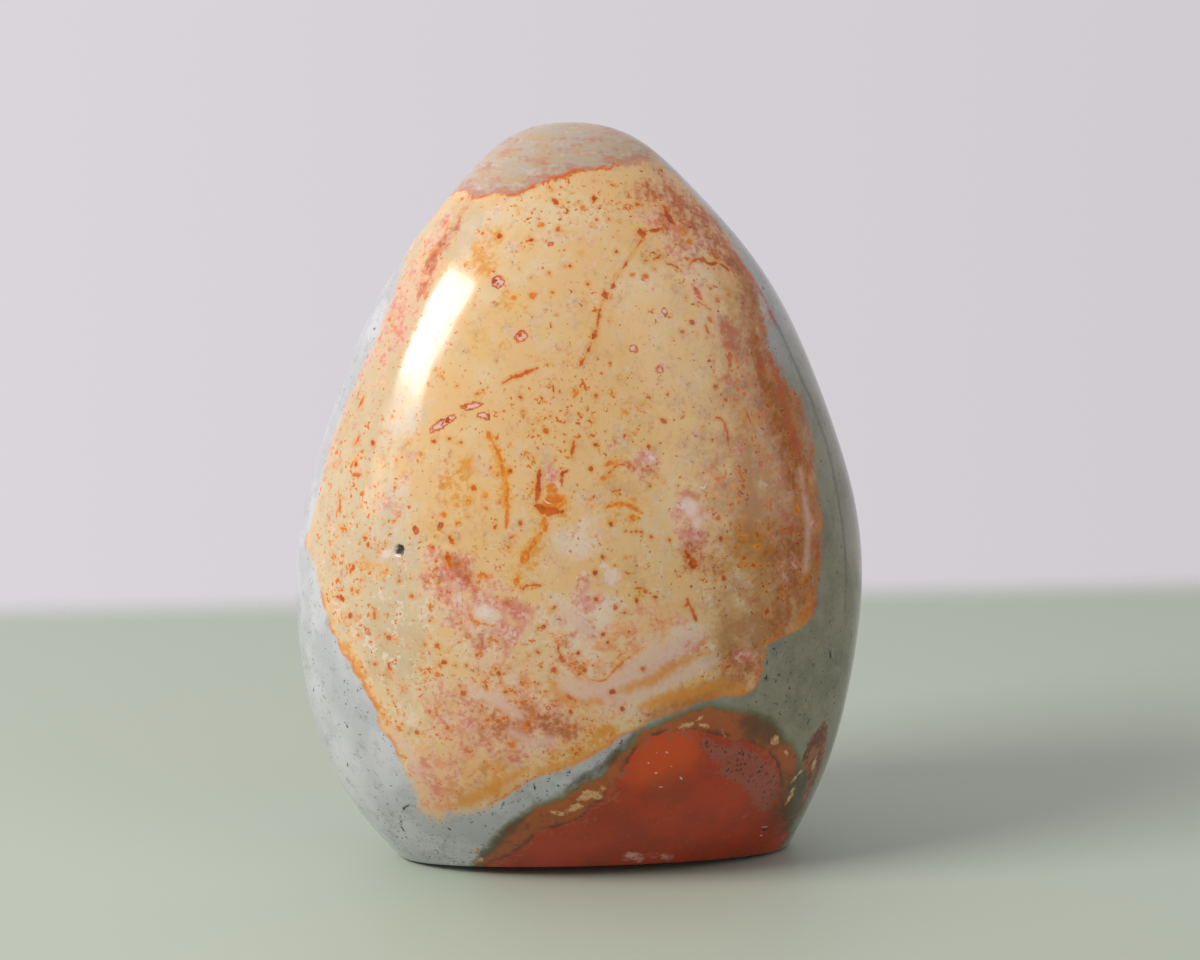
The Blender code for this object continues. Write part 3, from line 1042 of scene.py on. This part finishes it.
def add_values(data, name, values):
    layer = data.attributes.new(name, "FLOAT", "POINT")
    layer.data.foreach_set("value", np.asarray(values, np.float32))


def mark_depth(points, strokes):
    """The deepest that each point is inside any of the strokes, in millimetres."""
    deepest = np.full(len(points), -MARK_REACH)
    for stroke in strokes:
        near, depth = stroke.depth(points, MARK_REACH)
        deepest[near] = np.maximum(deepest[near], depth)
    return deepest


def wash_share(points, strokes):
    """1 in the middle of a wash, falling to 0 at its reach."""
    share = np.zeros(len(points))
    for stroke in strokes:
        near, depth = stroke.depth(points, 0.0)
        part = np.clip(depth / stroke.half_width, 0, 1)
        share[near] = np.maximum(share[near], part * (2 - part))
    return share


def add_bake_map(data):
    """A map for baking: the front half of the stone takes its left part, the back half its right part."""
    points = np.empty(3 * len(data.vertices))
    data.vertices.foreach_get("co", points)
    points = points.reshape(-1, 3) / MM
    corners = np.empty(len(data.loops), np.int32)
    data.loops.foreach_get("vertex_index", corners)
    behind = np.repeat(points[corners, 1].reshape(-1, 3).mean(1) > 0, 3)
    spots = []
    for facing, (left, right) in ((FRONT, FRONT_PART), (BACK, BACK_PART)):
        shares = chart(points, facing)[corners] / math.pi + 0.5
        low, high = np.array((left, BAKE_MARGIN)), np.array((right, 1 - BAKE_MARGIN))
        spots.append(low + (high - low) * shares)
    layer = data.uv_layers.new(name=BAKE_MAP, do_init=False)
    places = np.where(behind[:, None], spots[1], spots[0])
    layer.uv.foreach_set("vector", places.astype(np.float32).ravel())


def make_stone():
    """The stone's mesh, with every zone, mark and wash as a value on its points."""
    view = View(casting_tree())
    marks = all_strokes(view, MARKS, BACK_MARKS)
    for group, rows in dot_strokes(view).items():
        marks[group].extend(rows)
    washes = all_strokes(view, WASHES, BACK_WASHES)
    zones = outlines(view)
    mesh = refined_mesh(mesh_samples(marks, zones))
    smooth_points = shaped(positions(mesh))
    points = fitted(press_in(press_in(smooth_points, PIT, view), CHIP, view))
    for vertex, point in zip(mesh.verts, points):
        vertex.co = point * MM
    data = bpy.data.meshes.new("jasper")
    mesh.to_mesh(data)
    mesh.free()
    data.shade_smooth()
    for name, (outline, facing) in zones.items():
        add_values(data, name, zone_depth(smooth_points, outline, facing))
    for name, rows in marks.items():
        add_values(data, name, mark_depth(smooth_points, rows))
    for name, rows in washes.items():
        add_values(data, name, wash_share(smooth_points, rows))
    add_bake_map(data)
    data.materials.append(stone_material())
    return put("jasper", data)


def linear(colour):
    """A colour of three numbers from 0 to 255, as a screen shows it, made linear with full cover."""
    shares = [channel / 255 for channel in colour]
    return tuple(s / 12.92 if s <= 0.04045 else ((s + 0.055) / 1.055) ** 2.4 for s in shares) + (1.0,)


class Nodes:
    """Short calls for a node tree. An input takes a socket, a number or a screen colour."""

    def __init__(self, owner):
        owner.use_nodes = True
        self.tree = owner.node_tree

    def node(self, kind, inputs=(), **settings):
        made = self.tree.nodes.new(kind)
        for name, value in settings.items():
            setattr(made, name, value)
        for name, value in dict(inputs).items():
            self.feed(made.inputs[name], value)
        return made

    def feed(self, socket, value):
        if isinstance(value, bpy.types.NodeSocket):
            self.tree.links.new(value, socket)
        elif socket.type == "RGBA":
            socket.default_value = linear(value)
        else:
            socket.default_value = value

    def math(self, operation, first, second=0.0, third=0.0):
        inputs = {0: first, 1: second, 2: third}
        return self.node("ShaderNodeMath", inputs, operation=operation).outputs[0]

    def times(self, first, second):
        return self.math("MULTIPLY", first, second)

    def most(self, first, second):
        return self.math("MAXIMUM", first, second)

    def sum(self, start, *terms):
        """start plus every term, each a socket and its weight."""
        total = start
        for socket, weight in terms:
            total = self.math("MULTIPLY_ADD", socket, weight, total)
        return total

    def step(self, value, low, high, results=(0.0, 1.0), shape="SMOOTHSTEP"):
        """The first result below low and the second above high; low may be the larger."""
        inputs = {"Value": value, "From Min": low, "From Max": high}
        inputs["To Min"], inputs["To Max"] = results
        return self.node("ShaderNodeMapRange", inputs, interpolation_type=shape).outputs["Result"]

    def split(self, vector):
        return self.node("ShaderNodeSeparateXYZ", {0: vector}).outputs[:]


class Paint(Nodes):
    """A material's nodes, with places in millimetres."""

    def __init__(self, material):
        super().__init__(material)
        self.shader = self.tree.nodes["Principled BSDF"]
        place = self.node("ShaderNodeTexCoord").outputs["Object"]
        scaled = self.node("ShaderNodeVectorMath", {0: place, "Scale": 1 / MM}, operation="SCALE")
        self.place = scaled.outputs[0]
        self.x, self.y, self.z = self.split(self.place)

    def value(self, name):
        return self.node("ShaderNodeAttribute", attribute_name=name).outputs["Fac"]

    def blend(self, share, under, over):
        inputs = {0: share, 6: under, 7: over}
        return self.node("ShaderNodeMix", inputs, data_type="RGBA").outputs[2]

    def lay(self, colour, over, share, strength=1.0):
        """Lays one colour over another."""
        return self.blend(self.times(share, strength) if strength != 1.0 else share, colour, over)

    def tint(self, colour, over, value, low, high, strength=1.0):
        """Lays one colour over another where the value is past low, fully so where it is past high."""
        return self.lay(colour, over, self.step(value, low, high), strength)

    def vector(self, first, scale, added):
        inputs = {0: first, 1: (scale,) * 3 if isinstance(scale, float) else scale, 2: added}
        return self.node("ShaderNodeVectorMath", inputs, operation="MULTIPLY_ADD").outputs[0]

    def noises(self, size, detail, offset=0.0, stretch=(1.0, 1.0, 1.0)):
        """Three unlike noises of about that size in millimetres, each mostly from -1 to 1."""
        place = self.vector(self.place, stretch, tuple(offset * part for part in OFFSET_WAY))
        inputs = {"Vector": place, "Scale": 1 / size, "Detail": detail, "Roughness": NOISE_ROUGHNESS}
        colour = self.node("ShaderNodeTexNoise", inputs).outputs["Color"]
        spread = self.vector(colour, NOISE_GAIN, (-NOISE_GAIN / 2,) * 3)
        return self.split(spread) + [spread]

    def add_noises(self):
        """The noises that every layer draws on: clouds, mottling and grain."""
        self.clouds = self.noises(9.0, 2.0)
        self.mottle = self.noises(2.4, 3.0, 31.0)
        self.grain = self.noises(0.7, 2.0, 57.0)
        self.streaks = self.noises(2.6, 2.0, 83.0, (0.7, 0.7, 2.6))
        self.flows = self.noises(2.2, 2.0, 101.0, (1.5, 1.0, 0.45))

    def dots(self, size, warp, offset, presence, radius):
        """Scattered round dots: 1 in the middle of each, 0 at its edge, negative outside.

        presence is the share of cells that have one. radius is the largest, as a share of size.
        """
        place = self.vector(self.grain[3], warp, self.vector(self.place, 1.0, (offset,) * 3))
        cell = self.node("ShaderNodeTexVoronoi", {"Vector": place, "Scale": 1 / size})
        random = self.node("ShaderNodeSeparateColor", {0: cell.outputs["Color"]}).outputs
        there = self.math("LESS_THAN", random[0], presence)
        least = SMALLEST_DOT * radius
        reach = self.times(self.math("MULTIPLY_ADD", random[1], radius - least, least), there)
        away = self.math("DIVIDE", cell.outputs["Distance"], self.most(reach, NO_DOT))
        return self.math("SUBTRACT", 1.0, away)


# Colours as a screen shows them in plain light.
TAN = (222, 181, 127)
CREAM = (219, 193, 152)
YELLOW = (222, 182, 112)
STRAW = (218, 188, 140)
MILK_AND_REFLECTION = (188, 171, 142)
PALE = (224, 208, 192)
PINK = (210, 118, 92)
PINK_PALE = (224, 184, 166)
RED = (168, 76, 42)
RED_PALE = (206, 132, 88)
GOLD = (216, 140, 44)
GOLD_PALE = (226, 184, 118)
SALMON = (220, 136, 90)
SALMON_PALE = (232, 172, 128)
RUST = (170, 60, 6)
RUST_DEEP = (136, 40, 8)
RUST_BRIGHT = (206, 92, 18)
OCHRE = (212, 108, 10)
OCHRE_PALE = (228, 152, 54)
MAUVE = (204, 106, 88)
MAUVE_PALE = (224, 188, 172)
WHITE = (230, 214, 206)
LILAC = (193, 193, 196)
LILAC_DARK = (176, 177, 180)
STRIPE = (220, 184, 164)
GREEN_GREY = (141, 138, 119)
GREEN_DARK = (120, 118, 99)
SPECK = (62, 64, 64)
GLINT = (236, 228, 222)
UMBER_AND_SHADE = (156, 88, 8)
MURK_AND_SHADE = (70, 56, 32)
CAP_VEIL = (196, 184, 174)
BROWN_SPECK = (150, 70, 16)
CAP_GREY = (180, 165, 150)
CAP_PINK = (184, 124, 104)
CAP_TAN = (186, 158, 124)
RIM_OLIVE = (122, 98, 50)
RIM_GREEN = (108, 110, 78)
RIM_BROWN = (162, 82, 32)
RIM_RUST = (174, 86, 34)
RIM_DARK = (92, 44, 20)
CORE_RED = (180, 52, 2)
CORE_GLOW = (216, 78, 4)
CORE_DARK = (154, 48, 4)
CORE_SHADE = (156, 60, 12)
CORE_PINK = (168, 86, 52)
MAUVE_ZONE = (156, 82, 64)
CREAM_VUG = (212, 174, 122)
SLIVER = (154, 96, 66)
SLIVER_DARK = (108, 64, 44)
BLACK = (26, 25, 23)

NOISE_GAIN = 5.0
NOISE_ROUGHNESS = 0.55
OFFSET_WAY = (1.0, 1.7, 0.6)
SMALLEST_DOT = 0.3  # as a share of the largest
NO_DOT = 0.001  # radius of a dot that isn't there
POLISH = 0.14  # roughness of the polished face,
PIT_ROUGHNESS = 0.5  # and how much rougher a pit is
STONE_IOR = 1.54


def wash(p, colour, name, pale, strong, coarse, fine):
    """A soft tint where a wash lies, with stronger grains in its middle."""
    share = p.value(name)
    soft = p.step(p.sum(share, (coarse, 0.5), (fine, 0.22)), 0.1, 1.2)
    grains = p.step(p.sum(0.0, (fine, 0.6), (coarse, 0.8), (share, 1.2)), 0.6, 1.9)
    return p.lay(p.lay(colour, pale, soft, 0.6), strong, grains, 0.8)


def marbled(p, colour):
    """Thin streaks of white, yellow and pink through the ground, more of them in its lower half."""
    low = p.step(p.z, 66.0, 30.0)
    white = p.sum(p.mottle[1], (p.grain[1], 0.6), (p.flows[1], 0.3), (low, 0.85))
    colour = p.tint(colour, PALE, white, 0.8, 1.6, 0.8)
    yellow = p.sum(p.flows[2], (p.grain[0], 0.5), (p.mottle[2], 0.4))
    colour = p.tint(colour, GOLD_PALE, yellow, 0.7, 1.6, 0.6)
    pink = p.sum(p.mottle[0], (p.grain[2], 0.6), (p.clouds[2], 0.5), (low, 0.4))
    return p.tint(colour, SALMON_PALE, pink, 0.9, 1.7, 0.7)


def field_colour(p):
    """The cream and tan ground with its washes."""
    clouds, mottle, grain, streaks = p.clouds, p.mottle, p.grain, p.streaks
    ground = p.sum(clouds[0], (mottle[0], 0.6), (p.value("cream_wash"), 1.5))
    colour = p.blend(p.step(ground, -0.1, 1.5), TAN, CREAM)
    colour = p.tint(colour, STRAW, p.sum(clouds[1], (streaks[0], 0.8)), 0.2, 1.0, 0.4)
    colour = p.tint(colour, YELLOW, p.sum(clouds[2], (mottle[1], 0.9)), 0.2, 1.1, 0.55)
    pale = p.sum(mottle[2], (clouds[1], 0.5), (grain[0], 0.15), (p.value("pale_wash"), 1.7))
    colour = p.tint(colour, PALE, pale, 0.2, 2.1, 0.75)
    # Painted reflection veil, partly the field's own tone: greyer cream down the left of the field.
    colour = p.tint(colour, MILK_AND_REFLECTION, p.sum(p.value("milk_and_reflection_wash"), (p.flows[1], 0.25)), 0.0, 1.1, 0.7)
    colour = marbled(p, colour)
    colour = wash(p, colour, "salmon_wash", SALMON_PALE, SALMON, mottle[1], grain[1])
    colour = wash(p, colour, "pink_wash", PINK_PALE, PINK, mottle[0], grain[2])
    colour = wash(p, colour, "ochre_wash", GOLD_PALE, GOLD, mottle[1], grain[0])
    streaky = p.sum(0.0, (mottle[2], 0.5), (p.flows[0], 0.6))
    colour = wash(p, colour, "red_wash", RED_PALE, RED, streaky, grain[1])
    # Brown laid over the right of the field: partly its own umber, partly painted shade on the side away from
    # the window.
    umber_and_shade = p.sum(p.value("umber_and_shade_wash"), (clouds[2], 0.2), (mottle[2], 0.3), (grain[2], 0.15))
    colour = p.tint(colour, UMBER_AND_SHADE, umber_and_shade, -0.1, 1.2, 0.74)
    flakes = p.sum(grain[2], (mottle[1], 0.6), (p.value("speckled"), 0.45), (p.value("milk_and_reflection_wash"), 0.12))
    colour = p.tint(colour, GOLD, flakes, 1.0, 1.35, 0.7)
    return p.tint(colour, RUST_BRIGHT, flakes, 1.25, 1.5, 0.85)


def speckled(p, colour):
    """Dots of three sizes and dust, more of them where the speckled wash lies.

    The dots turn from ochre on the left to deep rust on the right. The larger have gold round them.
    """
    density = p.value("speckled")
    tint = p.blend(p.step(p.sum(p.mottle[1], (p.grain[2], 0.4)), -0.5, 0.6), RUST_BRIGHT, RUST)
    tint = p.tint(tint, OCHRE, p.sum(p.x, (p.mottle[2], 12.0)), 4.0, -24.0, 0.8)
    tint = p.tint(tint, RUST_DEEP, p.sum(p.x, (p.mottle[0], 8.0)), 2.0, 22.0, 0.9)
    small = p.dots(1.0, 0.24, 3.0, p.sum(0.26, (density, 0.5)), 0.28)
    medium = p.dots(1.8, 0.44, 7.0, p.sum(0.2, (density, 0.6)), 0.25)
    large = p.dots(3.0, 0.8, 13.0, p.sum(0.16, (density, 0.5)), 0.23)
    dust = p.dots(0.62, 0.06, 17.0, 0.34, 0.24)
    colour = p.tint(colour, BROWN_SPECK, dust, 0.0, 0.6, 0.7)
    colour = p.tint(colour, GOLD, p.most(medium, large), -1.2, 0.1, 0.5)
    colour = p.tint(colour, tint, small, 0.0, 0.5, 0.85)
    return p.tint(colour, tint, p.most(medium, large), 0.0, 0.45, 0.9)


def grey_colour(p):
    """The stone round the field: bluish and pale on the left, greenish on the right, with dark flecks."""
    flecked = p.value("flecked")
    left = p.blend(p.step(p.clouds[1], -0.5, 0.6), LILAC, LILAC_DARK)
    patches = p.sum(p.clouds[2], (p.mottle[1], 0.6), (p.grain[2], 0.35))
    right = p.blend(p.step(patches, -0.9, 1.2), GREEN_GREY, GREEN_DARK)
    aside = p.sum(p.x, (p.clouds[0], 5.0), (p.step(p.z, 45.0, 85.0), -22.0))
    colour = p.blend(p.step(aside, -8.0, 28.0), left, right)
    dirt = p.sum(p.mottle[2], (p.grain[1], 0.5), (flecked, 0.35))
    colour = p.tint(colour, GREEN_DARK, dirt, 0.1, 1.6, 0.4)
    flecks = p.dots(1.1, 0.4, 71.0, p.sum(0.4, (flecked, 0.6)), 0.34)
    dust = p.dots(0.6, 0.2, 73.0, p.sum(0.36, (flecked, 0.4)), 0.32)
    return p.tint(colour, SPECK, p.most(flecks, dust), 0.0, 0.6, 0.85)


def cap_colour(p):
    """The pinkish-grey tip, mottled, and pinker towards its lower edge."""
    colour = p.blend(p.step(p.sum(p.streaks[0], (p.grain[0], 0.6)), -0.8, 1.0), CAP_GREY, CAP_TAN)
    colour = p.tint(colour, CAP_VEIL, p.sum(p.streaks[2], (p.grain[2], 0.7)), 0.3, 1.4, 0.6)
    pink = p.sum(p.streaks[1], (p.grain[1], 0.6), (p.step(p.value("cap"), 3.4, 0.2), 0.8))
    return p.tint(colour, CAP_PINK, pink, -0.1, 1.4, 0.85)


def rim_colour(p, dome, core):
    """The rings round the dome, from the edge in: olive, rust and brown, darkest next to the core."""
    mottle, grain = p.mottle, p.grain
    colour = p.blend(p.step(p.sum(dome, (grain[1], 0.2)), 0.0, 1.1), RIM_OLIVE, RIM_RUST)
    colour = p.tint(colour, RIM_BROWN, p.sum(mottle[0], (grain[0], 0.6), (dome, 0.4)), 0.2, 1.2)
    colour = p.tint(colour, RIM_RUST, p.sum(mottle[1], (grain[1], 0.5)), 0.2, 1.0, 0.7)
    colour = p.tint(colour, CORE_PINK, p.sum(mottle[2], (grain[2], 0.7)), 0.4, 1.1, 0.6)
    colour = p.tint(colour, RIM_DARK, p.sum(mottle[2], (grain[0], 0.8)), -0.3, -1.3, 0.5)
    seam = p.times(p.step(core, -0.9, -0.1), p.step(mottle[2], 0.8, -0.4))
    return p.lay(colour, RIM_DARK, seam, 0.9)


def core_colour(p, core):
    """The dome's red core, with a glow, a shaded foot, a pinker edge and the pitted mauve zone."""
    mottle, grain = p.mottle, p.grain
    patches = p.sum(p.clouds[0], (mottle[0], 0.5), (grain[0], 0.3))
    red = p.blend(p.step(patches, -0.8, 1.1), CORE_RED, CORE_DARK)
    red = p.tint(red, CORE_GLOW, p.sum(p.value("glow"), (p.clouds[2], 0.2)), 0.0, 1.0, 0.75)
    red = p.tint(red, CORE_SHADE, p.sum(p.value("shade"), (mottle[1], 0.1)), 0.1, 1.2, 0.6)
    red = p.tint(red, CORE_PINK, p.sum(grain[2], (mottle[1], 0.5)), 0.5, 1.4, 0.2)
    edge = p.sum(grain[0], (mottle[2], 0.8), (p.step(core, 3.0, 0.0), 0.9))
    red = p.tint(red, CORE_PINK, edge, 0.7, 1.6, 0.75)
    zone = p.sum(p.value("mauve_zone"), (grain[1], 0.4), (mottle[0], 0.5))
    pitted = p.dots(0.7, 0.2, 131.0, 0.8, 0.5)
    mauve = p.tint(MAUVE_ZONE, CORE_DARK, p.sum(mottle[1], (grain[2], 0.6)), -0.2, 0.9, 0.35)
    mauve = p.tint(mauve, BLACK, pitted, 0.0, 0.35, 0.85)
    return p.tint(red, mauve, zone, -0.4, 0.5, 0.9)


def sliver_colour(p):
    """The small brown patch to the right of the dome."""
    return p.blend(p.step(p.sum(p.mottle[1], (p.grain[0], 0.8)), -0.4, 0.7), SLIVER, SLIVER_DARK)


def soft_marks(p, colour):
    """Stripes, glows, smears and veils, whose edges fade out."""
    mottle, grain = p.mottle, p.grain
    stripe = p.sum(p.value("stripe"), (grain[1], 0.1), (mottle[0], 0.2))
    colour = p.tint(colour, STRIPE, stripe, -0.9, 0.8, 0.8)
    amber = p.sum(p.value("amber"), (grain[0], 0.15), (p.flows[2], 0.25))
    colour = p.tint(colour, GOLD, amber, -0.8, 0.7, 0.8)
    smear = p.sum(p.value("smear"), (grain[2], 0.35), (p.flows[0], 0.35))
    soft_rust = p.blend(p.step(grain[1], -0.8, 0.8), RED, RUST_BRIGHT)
    colour = p.tint(colour, soft_rust, smear, -0.7, 0.9, 0.78)
    mauve = p.sum(p.value("mauve"), (grain[0], 0.45), (mottle[0], 0.6))
    veil = p.blend(p.step(p.sum(grain[2], (mottle[1], 0.6)), -0.6, 0.7), MAUVE, MAUVE_PALE)
    return p.tint(colour, veil, mauve, -0.9, 1.0, 0.8)


def sharp_marks(p, colour):
    """Lines, crystals, ringed spots, dots, vugs, a vein, holes and glints, each with a ragged edge."""
    mottle, grain = p.mottle, p.grain
    ochre = p.sum(p.value("ochre"), (grain[1], 0.12), (mottle[2], 0.08))
    gold = p.blend(p.step(p.sum(grain[0], (mottle[0], 0.5)), -0.3, 0.8), OCHRE, OCHRE_PALE)
    colour = p.tint(colour, OCHRE_PALE, ochre, -0.7, 0.1, 0.3)
    colour = p.tint(colour, gold, ochre, -0.15, 0.15, 0.85)
    white = p.sum(p.value("white"), (grain[2], 0.5), (mottle[0], 0.4))
    colour = p.tint(colour, WHITE, white, -0.6, 0.6, 0.65)
    tint = p.blend(p.step(p.sum(mottle[1], (grain[2], 0.6)), -0.5, 0.7), RUST_BRIGHT, RUST)
    rimmed = p.sum(p.value("rimmed"), (grain[0], 0.2))
    colour = p.tint(colour, tint, rimmed, -0.16, 0.05, 0.9)
    heart = p.blend(p.step(p.sum(grain[1], (mottle[2], 0.5)), -0.1, 0.8), MAUVE_PALE, tint)
    colour = p.tint(colour, heart, rimmed, 0.1, 0.3, 0.9)
    rust = p.sum(p.value("rust"), (grain[1], 0.17), (mottle[0], 0.1))
    colour = p.tint(colour, GOLD, rust, -0.7, -0.05, 0.4)
    colour = p.tint(colour, tint, rust, -0.14, 0.1, 0.9)
    vug = p.sum(p.value("vug"), (grain[2], 0.28), (mottle[1], 0.1))
    cream = p.blend(p.step(grain[1], -0.2, 0.9), CREAM_VUG, RIM_RUST)
    colour = p.tint(colour, cream, vug, -0.25, 0.2, 0.9)
    shadow = p.sum(p.value("shadow"), (grain[0], 0.1), (mottle[0], 0.16))
    colour = p.tint(colour, SPECK, shadow, -0.6, 0.35, 0.5)
    # Black for the dark ticks and cracks, and as painted shade in the pit and the chip's hole.
    dark = p.sum(p.value("dark"), (grain[0], 0.14))
    colour = p.tint(colour, BLACK, dark, -0.12, 0.1, 0.9)
    glint = p.sum(p.value("glint"), (grain[1], 0.05))
    return p.tint(colour, GLINT, glint, -0.08, 0.06, 0.85)


def ragged(p, *names):
    """How deep a place is inside any of the zones, with noise that makes their edges uneven."""
    depth = p.value(names[0])
    for name in names[1:]:
        depth = p.most(depth, p.value(name))
    return p.sum(depth, (p.mottle[0], 0.3), (p.grain[0], 0.14))


def edge_line(p, depth, outer, inner):
    """A thin line along a zone's edge, from outer to inner in millimetres of depth."""
    return p.times(p.step(depth, outer, -0.05), p.step(depth, inner, 0.1))


def with_field(p, soft):
    """The grey stone with the field on it, and the ochre line round the field's sharp edges."""
    field = ragged(p, "field", "back_field")
    inner = speckled(p, field_colour(p))
    spread = p.sum(field, (p.times(soft, p.flows[1]), 0.8), (p.times(soft, p.grain[2]), 0.5))
    inside = p.step(spread, p.sum(-0.2, (soft, -0.6)), p.sum(0.15, (soft, 1.8)))
    colour = p.blend(inside, grey_colour(p), inner)
    line = p.times(edge_line(p, field, -0.4, 0.7), p.step(soft, 0.5, 0.0))
    return p.lay(colour, OCHRE, p.times(line, p.step(p.mottle[1], -0.9, 0.5)), 0.7)


def with_cap(p, soft, colour):
    """The cap over the tip, with a rust line along its edge that fades out to the right."""
    cap = ragged(p, "cap")
    cap = p.sum(cap, (p.times(soft, p.flows[2]), 0.8), (p.times(soft, p.grain[1]), 0.4))
    inside = p.step(cap, p.sum(-0.2, (soft, -1.2)), p.sum(0.2, (soft, 1.2)))
    colour = p.blend(inside, colour, cap_colour(p))
    line = p.times(edge_line(p, cap, -0.45, 0.5), p.step(p.x, 11.0, 3.0))
    return p.lay(colour, RUST_BRIGHT, p.times(line, p.step(p.mottle[2], -0.9, 0.3)), 0.9)


def with_dome(p, colour):
    """The dome in front and its like behind, in a green halo, and the sliver beside it."""
    dome = ragged(p, "dome", "back_patch")
    core = p.sum(p.most(p.value("core"), p.value("back_core")), (p.mottle[2], 0.3), (p.grain[2], 0.16))
    colour = p.tint(colour, RIM_GREEN, dome, -1.3, -0.05, 0.85)
    inner = p.blend(p.step(core, -0.15, 0.12), rim_colour(p, dome, core), core_colour(p, core))
    colour = p.blend(p.step(dome, -0.25, 0.3), colour, inner)
    # Dark olive-brown along the dome's rim and foot. On the right rim it is painted shade, partly the rim's
    # own dark brown.
    colour = p.tint(colour, MURK_AND_SHADE, p.sum(p.value("murk_and_shade"), (p.mottle[0], 0.2)), 0.1, 1.1, 0.75)
    return p.blend(p.step(ragged(p, "sliver"), -0.2, 0.2), colour, sliver_colour(p))


def stone_material():
    """One finish for the whole stone: the zones laid over each other, under one polish."""
    material = bpy.data.materials.new("polished_jasper")
    p = Paint(material)
    p.add_noises()
    soft = p.value("soft_edge")
    colour = with_cap(p, soft, with_field(p, soft))
    colour = sharp_marks(p, soft_marks(p, with_dome(p, colour)))
    p.feed(p.shader.inputs["Base Color"], colour)
    pits = p.step(p.value("dark"), -0.1, 0.2)
    p.feed(p.shader.inputs["Roughness"], p.math("MULTIPLY_ADD", pits, PIT_ROUGHNESS, POLISH))
    p.shader.inputs["IOR"].default_value = STONE_IOR
    return material


def put(name, data):
    """A new object of the scene."""
    thing = bpy.data.objects.new(name, data)
    bpy.context.scene.collection.objects.link(thing)
    return thing


def face(thing, place, away):
    """Puts a camera or a light at a place, looking along -away."""
    thing.location = place
    thing.rotation_mode = "QUATERNION"
    thing.rotation_quaternion = (-away).to_track_quat("-Z", "Y")


def make_camera():
    view = View(None)
    data = bpy.data.cameras.new("camera")
    data.lens = LENS
    data.sensor_width = SENSOR
    camera = put("camera", data)
    face(camera, view.eye, view.back)
    bpy.context.scene.camera = camera


# How far the floor reaches behind, in front of and beside the stone, and where it starts to fade out.
FLOOR_BACK = 0.19
FLOOR_FRONT = 1.5
FLOOR_SIDE = 1.2
FLOOR_FADE = 0.03
FLOOR_SOLID = 0.45
FLOOR_DROP = 0.00005  # keeps it clear of the stone's base
FLOOR_COLOUR = (177, 186, 170)
FLOOR_ROUGHNESS = 0.55


def floor_material():
    material = bpy.data.materials.new("floor")
    p = Paint(material)
    p.feed(p.shader.inputs["Base Color"], FLOOR_COLOUR)
    p.shader.inputs["Roughness"].default_value = FLOOR_ROUGHNESS
    behind = p.step(p.y, FLOOR_BACK / MM, (FLOOR_BACK - FLOOR_FADE) / MM)
    ahead = p.step(p.y, -FLOOR_FRONT / MM, -FLOOR_SOLID / MM)
    beside = p.step(p.math("ABSOLUTE", p.x), FLOOR_SIDE / MM, FLOOR_SOLID / MM)
    p.feed(p.shader.inputs["Alpha"], p.times(p.times(behind, ahead), beside))
    return material


def make_floor():
    """A flat sheet, faded out all round."""
    corners = [
        (x * FLOOR_SIDE, y, -FLOOR_DROP)
        for x, y in ((-1, -FLOOR_FRONT), (1, -FLOOR_FRONT), (1, FLOOR_BACK), (-1, FLOOR_BACK))
    ]
    data = bpy.data.meshes.new("floor")
    data.from_pydata(corners, [], [range(4)])
    data.materials.append(floor_material())
    floor = put("floor", data)


# The window in four parts, and a faint card: degrees to the left of the front, degrees up, metres from
# the stone, size and power.
LIGHTS = {
    "window_top": (66, 41.5, 0.9, (0.38, 0.12), 2.4),
    "window_middle": (68, 33.5, 0.9, (0.37, 0.15), 2.8),
    "window_low": (71, 26, 0.9, (0.33, 0.1), 1.65),
    "window_haze": (74, 17, 0.9, (0.27, 0.26), 0.5),
    "card": (-46, 26, 1.1, (1.0, 0.8), 2.6),
}
WINDOW_WHITE = (255, 253, 250)
STONE_MIDDLE = Vector((0, 0, 0.055))


def make_light(name, turn, rise, distance, size, power):
    """A soft oblong light that faces the stone."""
    data = bpy.data.lights.new(name, "AREA")
    data.shape = "RECTANGLE"
    data.size, data.size_y = size
    data.energy = power
    data.color = linear(WINDOW_WHITE)[:3]
    turn, rise = math.radians(turn), math.radians(rise)
    away = Vector((-math.sin(turn) * math.cos(rise), -math.cos(turn) * math.cos(rise), math.sin(rise)))
    face(put(name, data), STONE_MIDDLE + away * distance, away)


# The room's own light: brighter ahead and to the left, dimmer to the right and behind the camera.
ROOM_TINT = (218, 214, 219)
ROOM_LEFT, ROOM_RIGHT = 0.86, 0.53
ROOM_BEHIND, ROOM_AHEAD = 0.42, 1.39
ROOM_TURN = (-0.9, 0.5)  # from here to here, -1 behind and 1 ahead, the light goes from one to the other


def make_room():
    world = bpy.data.worlds.new("room")
    bpy.context.scene.world = world
    room = Nodes(world)
    right, ahead, _ = room.split(room.node("ShaderNodeTexCoord").outputs["Generated"])
    sideways = room.step(right, -1.0, 1.0, (ROOM_LEFT, ROOM_RIGHT), "LINEAR")
    onward = room.step(ahead, *ROOM_TURN, (ROOM_BEHIND, ROOM_AHEAD))
    back = room.tree.nodes["Background"]
    room.feed(back.inputs["Color"], ROOM_TINT)
    room.feed(back.inputs["Strength"], room.times(sideways, onward))


def main():
    bpy.context.scene.view_settings.view_transform = "Standard"
    make_camera()
    stone = make_stone()
    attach(stone, "root")
    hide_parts(NODE)
    make_floor()
    for name, settings in LIGHTS.items():
        make_light(name, *settings)
    make_room()


main()
